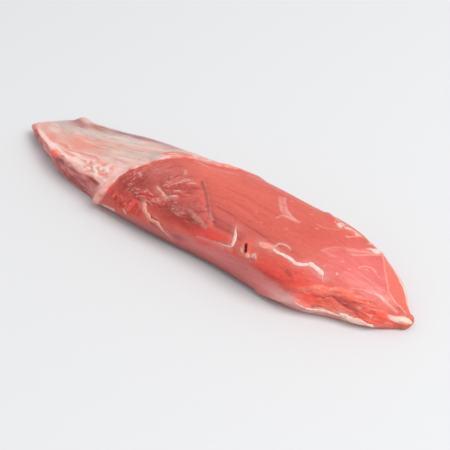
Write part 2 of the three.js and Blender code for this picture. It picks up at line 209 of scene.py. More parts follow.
# Colours as they look in that light, 0 to 255. A few go past 255, for slopes that get less light and still
# look bright.
PALETTE = {
    "lean": (227, 102, 86),
    "bright lean": (242, 115, 94),
    "strong lean": (214, 80, 67),
    "mauve lean": (211, 102, 95),
    "dark lean": (178, 66, 59),
    "deep red": (180, 44, 36),
    "fresh red": (258, 78, 63),
    "torn red": (278, 92, 72),
    "torn light": (284, 146, 120),
    "ear pink": (285, 176, 158),
    "pink lean": (241, 116, 111),
    "orange lean": (255, 122, 98),
    # Painted shade for the foot of the near wall and for its darker left part.
    "wall foot shade": (142, 82, 78),
    "shaded wall": (200, 105, 101),
    "wall": (226, 109, 104),
    "pink wall": (255, 142, 136),
    "white wall": (255, 206, 200),
    "foot fat": (278, 230, 214),
    "film grey": (220, 188, 180),
    "film pink": (242, 158, 147),
    "membrane": (242, 196, 183),
    "peach": (250, 164, 142),
    "beige": (219, 187, 166),
    "pale grey": (226, 212, 201),
    "blue grey": (200, 185, 181),
    "white pink": (266, 222, 211),
    "cream": (255, 232, 208),
    "fat pink": (247, 184, 171),
    "crumb fat": (255, 222, 206),
    "salmon fat": (256, 163, 142),
    "salmon": (244, 146, 128),
    "purple brown": (160, 112, 106),
    "mauve edge": (176, 128, 128),
    "brown red": (186, 102, 88),
    "cut side": (260, 129, 118),
    "pink cut": (255, 176, 166),
    "dark cut": (160, 70, 64),
    # Painted shade: the near-black inside of the slit and of a small hole.
    "slit": (60, 12, 8),
    "under": (200, 106, 101),
}
# Soft patches of colour: colour, centre along and round, reach along and round, slant, strength.
LEAN_DABS = [
    ("mauve lean", -16, 40, 16, 11, 0, 0.85),
    ("dark lean", -25, 28, 13, 8, 10, 0.95),
    ("dark lean", -32, 22, 4, 8, -10, 0.5),
    ("dark lean", -2, 28, 14, 5, 0, 0.8),
    ("mauve lean", 12, 29, 12, 5, 20, 0.7),
    ("mauve lean", 34, 32, 24, 3.6, 0, 0.7),
    ("bright lean", 22, 54, 26, 9, 0, 0.5),
    ("bright lean", 1, 57, 10, 4, 0, 0.9),
    ("strong lean", 74, 48, 13, 7, 0, 0.5),
    ("strong lean", 36, 62, 20, 4, 0, 0.3),
    ("deep red", 8, 21.5, 18, 2.6, 2, 0.9),
    # Painted highlight: a soft pale patch.
    ("film pink", -21, 43, 7, 5, 0, 0.4),
    ("pink lean", 96, 23, 16, 2.4, -12, 0.6),
    ("fresh red", 30, 23, 12, 3, 4, 0.9),
    ("fresh red", -28, 16, 14, 4.4, 0, 0.95),
    ("torn red", -20, 16.6, 6, 3, 0, 0.9),
    ("fresh red", 66, 22, 17, 4.6, -6, 0.8),
    ("torn red", 80, 18, 7, 4, -6, 0.7),
    ("fresh red", 32, 20.6, 14, 1.6, 4, 0.8),
    ("deep red", 66, 19.6, 12, 1.8, -4, 0.6),
    ("fresh red", -12, 25.5, 6, 3, 0, 0.7),
    ("orange lean", -5, 30, 4, 1.4, 0, 0.6),
    ("pink lean", 98, 34, 18, 12, -35, 0.9),
]
WALL_DABS = [
    # Painted shade: darker dabs on the near wall's left part and along its foot.
    ("shaded wall", -24, 8, 17, 6, 0, 0.9),
    ("wall foot shade", 4, 4.4, 24, 3.4, 0, 1),
    ("wall foot shade", 42, 3.6, 24, 3, 0, 0.9),
    ("pink wall", 28, 14, 18, 4, 5, 0.7),
    ("pink wall", 66, 12, 14, 6, -6, 0.95),
    ("white wall", 77, 9, 11, 4.4, -8, 0.95),
    ("fat pink", 20, 17.4, 16, 1.4, 6, 0.2),
    ("dark lean", 8, 13, 5, 2.2, 10, 0.7),
    ("fresh red", 24, 17.2, 6, 1.7, 5, 0.8),
]
TORN_DABS = [
    ("torn red", 86, 13, 8, 4, -8, 0.9),
    # Painted highlight: a pale band along the torn face under its ridge.
    ("torn light", 92, 17.4, 16, 2, -2, 0.9),
    ("torn red", 107, 11.6, 9, 4, -14, 0.9),
    # Painted shade in the torn face's crease.
    ("deep red", 99, 12.6, 6, 1.4, -30, 0.7),
    ("torn red", 117, 6, 7, 5, -20, 0.95),
    ("orange lean", 119, 2.6, 5, 2.4, -20, 0.9),
]
THIN_END_DABS = [
    ("beige", -97, 27, 10, 5, 5, 0.85),
    ("peach", -79, 33, 13, 8, 25, 0.95),
    ("salmon", -94, 19.4, 6, 3, 10, 0.9),
    ("beige", -55, 43, 15, 6, 20, 0.7),
    ("white pink", -68, 26, 16, 4, 20, 0.75),
    ("white pink", -44, 29, 7, 4, 50, 0.8),
    ("pale grey", -92, 35, 9, 3.2, 30, 0.85),
    ("pale grey", -75, 45.6, 15, 2.6, 28, 0.9),
    ("pale grey", -57, 52, 12, 2.8, 20, 0.9),
    ("blue grey", -110, 28, 8, 4.4, 10, 0.9),
    ("fat pink", -119, 14, 5, 9, 0, 0.6),
    ("salmon", -108, 17, 5, 3, 20, 0.5),
    ("peach", -70, 35, 8, 4, 20, 0.7),
    ("salmon", -80, 28, 9, 3, 20, 0.5),
    ("blue grey", -34, 51, 3.6, 5, 30, 0.8),
    ("blue grey", -44, 47, 8, 3, 25, 0.4),
    ("brown red", -105, 36, 9, 2.8, 20, 0.95),
    ("mauve edge", -96, 37.6, 4.6, 2.4, 30, 0.85),
    ("brown red", -88, 46, 9, 3.2, 30, 0.95),
    ("purple brown", -71, 54.6, 15, 3.4, 28, 1),
    ("mauve edge", -50, 62, 16, 4, 15, 0.95),
    ("mauve edge", -32, 64, 8, 4, 10, 0.7),
    ("cream", -106, 45, 9, 2, 25, 0.8),
    ("film grey", -83, 54.6, 14, 2.4, 30, 0.7),
    ("film grey", -60, 65, 12, 2.4, 20, 0.6),
]
CUT_SIDE_DABS = [
    ("pink cut", -111, 8.6, 4, 2, 20, 0.7),
    ("deep red", -108, 7, 3, 2, 20, 0.5),
    ("pink cut", -95, 8, 3, 2.4, 40, 0.6),
    ("pink cut", -87, 8, 4, 3, 40, 0.6),
    ("mauve lean", -78, 9, 5, 3, 40, 0.7),
    ("mauve lean", -60, 12, 8, 4, 0, 0.7),
    ("pink cut", -53, 9, 4, 5, 0, 0.7),
    ("fresh red", -112, 9.4, 3, 1.6, 20, 0.6),
    ("fresh red", -97, 11.6, 3, 1.2, 10, 0.5),
    ("pink cut", -99.6, 9.2, 2, 1.4, 40, 0.7),
    ("dark cut", -106, 11.4, 2, 0.9, 20, 0.8),
    # Painted shade: a small dark hole in the cut side.
    ("slit", -103, 10.8, 1.5, 0.9, 30, 0.9),
    ("dark cut", -98.4, 9.6, 1.8, 1, 40, 0.8),
    # Painted shadow under the overhanging near ridge of the thin end.
    ("dark cut", -77, 14.4, 5, 1.7, 30, 0.9),
    ("dark cut", -66, 16.4, 7, 1.2, 8, 0.85),
    ("dark cut", -51, 18, 3.4, 1.6, -20, 1),
    ("deep red", -68, 9, 2.4, 2, 20, 0.7),
    ("deep red", -58, 11, 1.6, 2, 20, 0.5),
    ("deep red", -84, 8, 1.6, 1.4, 20, 0.5),
]

# Streaks: colour, strength, length, gap, the noise at which they start and are full, seed.
NEAR_STREAKS = [
    ("white pink", 0.5, 9, 4, 0.1, 0.5, 161),
    ("film pink", 0.5, 7, 3, 0.1, 0.5, 166),
]
FAR_STREAKS = [
    ("white pink", 0.4, 16, 2, 0.1, 0.4, 161),
    ("film pink", 0.35, 14, 2.4, 0.1, 0.45, 171),
    ("blue grey", 0.45, 16, 2, 0.2, 0.5, 181),
    ("purple brown", 0.3, 12, 1.6, 0.3, 0.6, 186),
]
FAR_WALL_STREAKS = [
    ("film grey", 0.8, 22, 5, 0.05, 0.5, 141),
    ("dark lean", 0.6, 14, 6, 0.2, 0.6, 151),
]
CUT_SIDE_MOTTLE = [
    ("dark cut", 0.7, 3.4, 3, 0.1, 0.4, 191),
    ("pink cut", 0.9, 3.4, 3, -0.05, -0.35, 191),
]

# Thin features: colour, route, half width, strength.
STROKES = [
    # Painted shade along the long valleys: this row and the next three.
    ("dark lean", [[22, 37.4], [34, 36.6], [47, 35.4], [62, 34]], 0.4, 0.7),
    ("strong lean", [[12, 42], [26, 44], [38, 43], [48, 41]], 0.7, 0.5),
    ("strong lean", [[18, 50], [32, 50], [50, 49]], 0.7, 0.5),
    ("dark lean", [[27, 28], [35, 28.6], [42, 28]], 0.6, 0.6),
    ("dark lean", [[24, 31.4], [36, 31.6]], 0.4, 0.6),
    # Painted shade in the crease.
    ("dark cut", CREASE, 0.7, 0.8),
    ("film pink", [[5, 48.6], [10, 43.6], [15, 39.6], [20.6, 33.8]], 0.4, 0.35),
    # Painted shade in the torn face's crease.
    ("dark cut", TORN_CREASE, 0.45, 0.8),
    ("dark lean", [[85.4, 14.6], [88.1, 14.2], [90.3, 13.2], [93.5, 14.8]], 0.4, 0.7),
    ("dark lean", [[103, 14.6], [106, 13.2], [109, 12.6]], 0.4, 0.6),
    ("dark lean", [[88, 10.4], [92, 9.4], [96, 8.6]], 0.35, 0.5),
    ("fat pink", TIP_RIDGE, 0.2, 0.8),
    ("cream", TIP_RIM, 0.5, 0.95),
    ("cream", [[111, 38.4], [116, 31], [120.6, 21.6]], 0.3, 0.7),
    ("fat pink", [[66, 70], [70, 66.6], [76, 65]], 0.8, 0.6),
    ("white pink", [[82.6, 53.2], [84, 52.8], [85, 54], [86.4, 54.4]], 0.3, 0.8),
    ("brown red", [[89, 53.6], [93, 50.4]], 0.8, 0.7),
    ("fat pink", [[88, 42.6], [92, 43.4], [96, 45.6], [99, 47]], 0.4, 0.8),
    ("fat pink", [[91.6, 39.6], [95, 41.6], [98.4, 46]], 0.5, 0.6),
    ("film pink", [[96, 46], [93, 43], [90, 41]], 1.4, 0.35),
    ("film pink", [[79.5, 39.1], [82.2, 42.4], [87, 43.6], [93, 45]], 0.4, 0.6),
    ("film pink", [[79.5, 39.1], [82, 38], [86.5, 36.2]], 0.6, 0.5),
    ("film pink", [[80.6, 40], [84, 40.6]], 1.1, 0.3),
    ("film pink", [[68, 55], [70, 54], [74, 54.6], [78, 56.6]], 0.35, 0.6),
    ("fat pink", [[97.4, 32.6], [98.6, 35], [101, 35.6], [103, 34]], 0.35, 0.8),
    ("film pink", [[103, 34], [106, 30.6]], 0.25, 0.6),
    ("film pink", [[100, 20.6], [104, 21.4], [108, 20.8]], 0.35, 0.6),
    ("film pink", [[106, 21], [110, 21.4], [114, 18.6]], 1.1, 0.6),
    ("white pink", [[109, 20.6], [112, 19.6], [114, 17.8]], 0.4, 0.8),
    ("fat pink", [[114, 17.6], [117, 14.6], [120, 11.6]], 0.5, 0.6),
    ("white pink", [[91.2, 26.8], [91.6, 25.8]], 0.2, 0.9),
    ("white pink", [[94.4, 30.6], [94.7, 30]], 0.2, 0.7),
    ("fat pink", [[104, 13.4], [109, 12.8], [113, 13]], 0.5, 0.5),
    ("fat pink", [[101, 10.8], [107, 10.8], [112, 9]], 0.4, 0.5),
    # Painted shadow in the gap between the torn face and the fatty foot.
    ("dark cut", [[86, 8], [91, 8.4], [95, 7.2]], 0.3, 0.6),
    ("dark cut", [[101, 8.2], [105, 8], [109, 7.8]], 0.3, 0.5),
    ("fat pink", [[20, 19], [28, 20], [36, 20.6]], 0.5, 0.4),
    ("fat pink", [[35, 22], [30, 20.8]], 0.4, 0.5),
    ("white pink", [[-41, 7.8], [-37, 8.6], [-33, 9]], 0.8, 0.9),
    ("white pink", [[-25.6, 13], [-24.4, 12]], 0.7, 0.9),
    ("fat pink", [[-22, 58], [-27, 49], [-32, 41]], 0.9, 0.5),
    # Painted highlight: a pale streak above the hollow.
    ("film pink", [[11, 28.6], [14, 27.6], [20, 26.2], [23, 25]], 1, 0.8),
    ("film pink", [[20.6, 33], [22, 31.6], [24, 30]], 0.7, 0.8),
    ("dark lean", [[-12, 42], [-10.6, 39.6]], 0.6, 0.8),
    ("dark lean", [[-14, 37], [-11, 34.6]], 0.6, 0.8),
    ("fat pink", [[-8, 49.4], [-6.4, 47.4]], 0.8, 0.6),
    ("fat pink", [[-28, 35.6], [-26, 34.2]], 0.7, 0.6),
    ("purple brown", [[-5, 32.4], [-3.6, 31.8]], 0.9, 0.9),
    ("deep red", [[-8, 17.4], [-4, 16.8], [-1, 16]], 0.6, 0.8),
    ("dark cut", [[-7, 14.4], [-3, 13.6], [0, 11.6]], 0.7, 0.8),
    ("brown red", [[31, 22], [37, 22.8]], 0.5, 0.7),
    ("dark cut", [[50, 22.4], [54.6, 22.8]], 0.6, 0.7),
    ("dark lean", [[71, 24], [73.6, 22.4]], 0.8, 0.7),
    ("white pink", [[-33, 38], [-34, 42], [-33.4, 46]], 0.6, 0.9),
    ("pale grey", [[-31, 50], [-27, 58], [-20, 64], [-8, 68]], 1.4, 0.5),
    ("fat pink", [[-21, 57], [-12, 60.6], [-3, 61.4], [4, 63]], 0.7, 0.7),
    ("fat pink", [[-10, 59], [0, 58.6], [8, 59.6], [16, 62]], 0.5, 0.4),
    ("brown red", [[-29, 56], [-24, 61], [-14, 64], [0, 66]], 0.9, 0.7),
    ("pale grey", [[-72, 47.6], [-56, 53], [-42, 56.6]], 0.7, 0.6),
    ("pale grey", [[-98, 34], [-88, 38.6], [-76, 44]], 0.7, 0.7),
    ("purple brown", [[-97, 42], [-86, 48.6], [-72, 54], [-52, 60], [-36, 63]], 0.8, 0.7),
]

# Bands of film and fat that widen and narrow: colour, strength, [along, girth, half width] at each point.
BANDS = [
    ("white pink", 0.95, [[-106, 13.4, 0.3], [-102.6, 13.9, 0.9], [-97.2, 14.9, 1.1], [-91.3, 15.7, 1.2],
        [-87, 17.4, 1.8], [-84, 18.6, 1], [-80, 18.8, 0.5]]),
    ("white pink", 0.95, [[-78.5, 18.6, 0.6], [-75.4, 19.6, 1.1], [-71, 21.6, 1.3], [-66.6, 22, 1.1],
        [-63, 22, 0.4]]),
    ("salmon", 0.9, [[-80, 20.4, 0.2], [-75, 22.6, 0.5], [-69, 24.6, 0.4], [-63, 24.6, 0.5],
        [-60, 23.4, 0.3]]),
    ("white pink", 0.8, [[-80, 23, 0.3], [-75, 24.6, 0.8], [-69, 27, 1], [-64, 27.6, 0.5]]),
    ("salmon", 0.9, [[-88, 20.6, 0.6], [-84, 22.6, 1.4], [-80, 23.4, 0.6], [-74, 26.4, 0.4],
        [-66, 29, 0.5], [-61, 30.4, 0.7], [-57, 30, 0.4]]),
    ("white pink", 0.7, [[-72, 23, 0.6], [-67.2, 25.4, 1.2], [-61.9, 27.2, 0.8]]),
    ("fat pink", 0.7, [[-90, 13.8, 0.4], [-80, 16, 0.5], [-70, 18.6, 0.6], [-60, 18.8, 0.7],
        [-50, 20.4, 0.6]]),
    ("torn red", 0.85, [[-86, 14, 0.2], [-83.4, 15.4, 1.2], [-80.6, 15.6, 1.2], [-78, 16.6, 0.2]]),
    ("salmon", 0.7, [[-84, 16.8, 0.3], [-81.6, 17.4, 0.8], [-79, 17.8, 0.3]]),
    ("pink cut", 0.6, [[-100.4, 12.2, 0.3], [-97, 12.6, 0.6], [-93, 11.6, 0.8], [-91, 9.4, 0.5]]),
    ("film pink", 0.6, [[-74, 27, 0.8], [-66, 27.6, 1.2], [-58, 30, 0.8]]),
    ("film pink", 0.5, [[42.4, 61, 0.5], [44.6, 60.4, 1.6], [47, 56.6, 1.5], [50, 53.4, 1.9],
        [55, 52, 1.5], [59, 51.2, 0.7], [61, 51, 0.2]]),
    ("fat pink", 0.6, [[44.6, 62.4, 0.2], [48.5, 58, 0.4], [51.6, 54.6, 0.5], [56, 52.6, 0.5],
        [60.8, 51.1, 0.3]]),
    ("fat pink", 0.5, [[50.6, 47.6, 0.3], [51.4, 50, 0.4], [54, 51, 0.7], [59, 51, 0.5]]),
    ("fat pink", 0.4, [[42, 60.6, 0.2], [45.4, 57, 0.4], [49, 52.6, 0.4]]),
    ("orange lean", 0.75, [[-31, 54.6, 0.4], [-27, 57, 1.5], [-22, 58.8, 1.7], [-17, 59.8, 1.4],
        [-13, 60.6, 0.4]]),
    ("cream", 0.7, [[-27.4, 56.4, 0.1], [-25, 57.8, 0.4], [-22.4, 58.2, 0.2]]),
    ("cream", 0.6, [[-20.6, 60, 0.1], [-18, 60.2, 0.4], [-15.4, 60.4, 0.1]]),
    ("white pink", 0.9, [[117.6, 9.8, 0.3], [119.6, 8.4, 0.9], [121.6, 7.6, 1.4], [124, 7.4, 2]]),
    ("cream", 0.8, [[119.4, 8.4, 0.2], [121.4, 7.8, 0.8], [123, 7.2, 1.2], [124, 7.2, 1.4]]),
    ("orange lean", 0.6, [[122.6, 6.4, 0.1], [124, 6, 0.8]]),
]
SPECKS = [
    [85, 30], [84, 36], [100, 33], [90, 34], [49, 62], [51, 48], [46, 41], [40, 45], [59, 44], [70, 52],
    [62, 60], [-6, 48],
]

# Strands and lumps of fat on the surface: colour, then [along, girth, half width] at each point.
STRANDS = [
    ("foot fat", [[79, 9.4, 0.2], [82, 7.6, 0.4], [84.6, 6.6, 0.5], [89.7, 7, 0.5], [95.6, 6, 0.5],
        [99, 5.6, 0.3]]),
    ("foot fat", [[98, 6.4, 0.5], [99.6, 6.6, 1.2], [102, 6, 1.3], [105, 5.4, 1.9], [109, 4.7, 1.9],
        [112.6, 3.9, 1.4], [113.8, 3.2, 0.6]]),
    ("salmon fat", [[51.6, 30.8, 0.9], [53.3, 30.9, 1.7], [56.5, 31.4, 1.9], [58.7, 31.8, 1.2],
        [60.4, 31.4, 0.6]]),
    ("white pink", [[59.6, 31.6, 0.5], [62.6, 31, 0.7], [66, 30.9, 0.9], [69.9, 30, 0.9],
        [73.7, 28.4, 0.9], [76.3, 28.7, 0.8], [78.6, 29.5, 0.8]]),
    ("white pink", [[78, 30, 0.8], [79.4, 29.8, 1.5], [81.1, 29, 1.2], [83.8, 27, 1.6], [86, 25.4, 1.2],
        [86.8, 24.4, 0.4]]),
    ("fat pink", [[86.4, 24.6, 0.3], [87.2, 23, 0.25], [88, 21.6, 0.15]]),
    ("fat pink", [[59.4, 32.4, 0.3], [60.3, 35.2, 0.4], [62.9, 36, 0.5], [65.6, 35.6, 0.3],
        [67, 34.6, 0.2]]),
    ("white pink", [[36.9, 32.4, 0.1], [37.4, 31, 0.3], [37.9, 29.8, 0.8], [38.5, 28.6, 1.2],
        [39.2, 26.8, 1.3], [39.7, 25.2, 1], [39.6, 23.8, 0.8], [39.2, 22.6, 0.4]]),
    ("fat pink", [[39.4, 22.8, 0.6], [37.4, 22.2, 0.5], [35.4, 21.7, 0.3], [33, 21.6, 0.2]]),
    ("salmon fat", [[-15, 22.8, 0.5], [-14.6, 21.6, 1.5], [-13.4, 20.4, 0.8], [-13, 19, 1.5],
        [-11.4, 18, 0.9], [-9.8, 17.2, 1.6], [-8.2, 15.9, 1], [-6.6, 15.9, 1.3], [-4.6, 16.3, 0.7],
        [-3, 15.7, 1.3], [-1.4, 14.7, 0.7], [-0.3, 13.5, 1.2], [1.4, 12.2, 0.7], [2.6, 11.2, 1.2],
        [3.6, 10.2, 0.5]]),
    ("crumb fat", [[-15.4, 22.4, 0.5], [-14.4, 21.6, 1], [-13.6, 20.6, 0.6]]),
    ("salmon fat", [[-13.4, 33, 0.4], [-11.6, 32.2, 0.9], [-9, 31.8, 0.7], [-7.2, 31, 1],
        [-5.4, 30, 0.7]]),
    ("salmon fat", [[-5.6, 30.4, 0.5], [-4.2, 29.7, 0.8], [-3.4, 30.6, 0.4]]),
    ("fat pink", [[-3.6, 30.9, 0.2], [-2.4, 31.8, 0.4], [-0.6, 32.7, 0.5], [0.6, 33.2, 0.2]]),
    ("salmon fat", [[44.2, 25.2, 0.5], [45.3, 24.1, 1.2], [46.4, 23.2, 0.6]]),
    ("salmon fat", [[47.8, 24, 0.4], [48.6, 23.4, 1], [50, 22.9, 1.1], [51.2, 22.6, 0.5]]),
    ("fat pink", [[51.6, 23.4, 0.4], [52.6, 24.6, 0.7], [53.2, 25.8, 0.4]]),
    ("fat pink", [[52.6, 24.6, 0.4], [54.2, 24.6, 0.6], [55, 23.4, 0.3]]),
    ("crumb fat", [[-59, 26.6, 0.4], [-57.4, 27.2, 0.9], [-55.4, 26.8, 0.6]]),
    ("crumb fat", [[-60.6, 22.4, 0.4], [-58.6, 22.2, 0.9], [-56.6, 22.8, 0.5]]),
    ("crumb fat", [[-54.6, 23.2, 0.4], [-53, 23.8, 0.9], [-51.2, 23.6, 0.5]]),
    ("crumb fat", [[-50, 26.6, 0.4], [-48.4, 27, 0.8], [-46.8, 26.6, 0.4]]),
    ("crumb fat", [[78.6, 59.6, 0.3], [80.1, 58.9, 0.9], [81.6, 59.2, 0.4]]),
    ("salmon fat", [[82.4, 58.6, 0.4], [84.4, 57.6, 0.9], [85.4, 57.9, 0.5], [86.8, 56.4, 0.6]]),
    ("crumb fat", [[93.6, 47.4, 0.2], [95.1, 48.2, 0.5], [97.2, 47.5, 0.8], [98.6, 48.6, 0.5]]),
]

# The strands' tubes: columns, length of a step, height as a share of width, share of a half width sunk.
STRAND_SIDES = 12
STRAND_STEP = 0.45
STRAND_FLATNESS = 0.36
STRAND_SINK = 0.1

# The camera looks down on the steak from its near side, a little from the tip.
CAMERA_TURN = 38
CAMERA_RISE = 40
CAMERA_LENS = 80
CAMERA_REACH = 502
CAMERA_AIM = (22, -5, 12)
SENSOR_WIDTH = 36

# A wide soft panel above and behind the steak lights it, in metres, in a bright even surround.
PANEL_PLACE = Vector((1.3, 0.2, 1.8))
PANEL_SIZE = 1.4
PANEL_POWER = 44
SURROUND_COLOUR = (0.97, 0.985, 1, 1)
SURROUND_STRENGTH = 0.75
FLOOR_HALF = 4.0
FLOOR_COLOUR = (0.62, 0.62, 0.625, 1)


def smooth(low, high, x):
    t = np.clip((x - low) / (high - low), 0, 1)
    return t * t * (3 - 2 * t)


def bell(x):
    return np.exp(-x * x)


def unit(v):
    return v / np.maximum(np.linalg.norm(v, axis=-1, keepdims=True), 1e-9)


def linear(colour):
    """A colour of the palette as the share of light that the surface gives back."""
    c = np.array(PALETTE[colour]) / 255
    return np.where(c < 0.04045, c / 12.92, ((c + 0.055) / 1.055) ** 2.4) / LIGHT_GAIN


def value_noise(x, y, seed):
    """Smooth noise from -1 to 1 on a plane of unit cells, always the same for one seed."""
    cells = 64
    table = np.random.default_rng(seed).uniform(-1, 1, (cells, cells))
    column, row = np.floor(x).astype(int), np.floor(y).astype(int)
    fx, fy = smooth(0, 1, x - column), smooth(0, 1, y - row)
    left, right = column % cells, (column + 1) % cells
    low, high = row % cells, (row + 1) % cells
    lower = table[left, low] * (1 - fx) + table[right, low] * fx
    upper = table[left, high] * (1 - fx) + table[right, high] * fx
    return lower * (1 - fy) + upper * fy


def cloud(x, y, seed, octaves=3):
    """Layered noise from about -1 to 1: each layer is twice as fine and half as strong."""
    total = sum(value_noise(x * 2**k, y * 2**k, seed + k) / 2**k for k in range(octaves))
    return total / (2 - 2 ** (1 - octaves))


def ridges(x, y, seed):
    """Sharp winding crests from 0 to 1, with broad hollows between them."""
    return 1 - np.minimum(np.abs(cloud(x, y, seed, 3)) * 2, 1)


def sizes_at(along):
    """The ten sizes of the section at each place along, on a Catmull-Rom spline through SECTIONS."""
    last = len(STATIONS) - 1
    i = np.clip(np.searchsorted(STATIONS, along, side="right") - 1, 0, last - 1)
    f = ((along - STATIONS[i]) / (STATIONS[i + 1] - STATIONS[i]))[:, None]
    b, c = SECTIONS[i], SECTIONS[i + 1]
    a = np.where((i > 0)[:, None], SECTIONS[np.maximum(i - 1, 0)], 2 * b - c)
    d = np.where((i < last - 1)[:, None], SECTIONS[np.minimum(i + 2, last)], 2 * c - b)
    square = 2 * a - 5 * b + 4 * c - d
    cube = 3 * b - a - 3 * c + d
    return 0.5 * (2 * b + (c - a) * f + square * f**2 + cube * f**3)


def outline(sizes):
    """The outline of one section from the near foot over the top to the far foot."""
    near_x, near_y, far_x, far_y, crest, place, near_belt, far_belt, near_square, far_square = sizes
    near, far = np.array([near_x, near_y]), np.array([far_x, far_y])
    tipward = smooth(TIP_UNDERCUT_FROM, TIP_UNDERCUT_TO, (near_x + far_x) / 2)
    inset = (UNDERCUT + tipward * (TIP_UNDERCUT - UNDERCUT)) / np.linalg.norm(far - near)
    turn = np.linspace(0, math.pi / 2, 12)
    up = np.stack([inset * (1 - np.sin(turn)), near_belt * (1 - np.cos(turn))], 1)
    down = np.stack([1 - inset * (1 - np.cos(turn)), far_belt * (1 - np.sin(turn))], 1)
    turn = np.linspace(0, math.pi, 140)[1:-1]
    is_near = np.cos(turn) > 0
    power = 2 / np.where(is_near, near_square, far_square)
    reach = np.abs(np.cos(turn)) ** power
    belt = np.where(is_near, near_belt, far_belt)
    across = np.where(is_near, place * (1 - reach), place + (1 - place) * reach)
    over = np.stack([across, belt + (crest - belt) * np.sin(turn) ** power], 1)
    flat = np.concatenate([up, over, down])
    plan = near + flat[:, :1] * (far - near)
    return np.concatenate([plan, flat[:, 1:]], 1)


def off_route(route, a, g):
    """How far each place lies from a route, and on which side: 1 is left of the way it runs."""
    nearest = np.full(np.shape(a), np.inf)
    side = np.ones(np.shape(a))
    for (a0, g0), (a1, g1) in zip(route, route[1:]):
        da, dg = a1 - a0, g1 - g0
        f = np.clip(((a - a0) * da + (g - g0) * dg) / (da * da + dg * dg), 0, 1)
        oa, og = a - a0 - f * da, g - g0 - f * dg
        distance = np.hypot(oa, og)
        closer = distance < nearest
        nearest = np.where(closer, distance, nearest)
        side = np.where(closer, np.where(da * og - dg * oa < 0, -1, 1), side)
    return nearest, side


def left_of(route, a, g, soft):
    """A mask that is 1 left of a route and 0 right of it, with a soft change between."""
    distance, side = off_route(route, a, g)
    return smooth(-soft, soft, distance * side)


def patch(a, g, centre, reach, turn=0):
    """How much of a soft-edged ellipse covers each place. turn is its slant in degrees."""
    c, s = math.cos(math.radians(turn)), math.sin(math.radians(turn))
    x, y = a - centre[0], g - centre[1]
    return bell(np.hypot((x * c + y * s) / reach[0], (y * c - x * s) / reach[1]))


def patches(a, g, places):
    """The strongest cover of several patches."""
    return np.max([strength * patch(a, g, *place) for *place, strength in places], axis=0)


def band_cover(route, a, g):
    """How much a band covers each place. Its route has [along, girth, half width] at each point."""
    inside = np.full(np.shape(a), -np.inf)
    for (a0, g0, half0), (a1, g1, half1) in zip(route, route[1:]):
        da, dg = a1 - a0, g1 - g0
        f = np.clip(((a - a0) * da + (g - g0) * dg) / (da * da + dg * dg), 0, 1)
        distance = np.hypot(a - a0 - f * da, g - g0 - f * dg)
        inside = np.maximum(inside, half0 + f * (half1 - half0) - distance)
    return smooth(-0.4, 0.4, inside)


def wrinkles(a, g):
    """Fields of wrinkles and the fan: the crests, from 0 to 1, and how much of the surface is wrinkled."""
    fan_a, fan_g = a - FAN_CENTRE[0], g - FAN_CENTRE[1]
    lines = ridges(np.arctan2(fan_g, fan_a) * 5.5, np.hypot(fan_a, fan_g) / 12, 241)
    field = smooth(0.3, 0.7, patch(a, g, *FAN_FIELD))
    crests = field * lines
    for seed, (centre, reach, slant, length, gap, strength) in enumerate(WRINKLES):
        along, across = slanted(a, g, slant)
        cover = strength * smooth(0.3, 0.7, patch(a, g, centre, reach))
        crests = np.maximum(crests, cover * ridges(along / length, across / gap, 251 + 5 * seed))
        field = np.maximum(field, cover)
    return crests, field


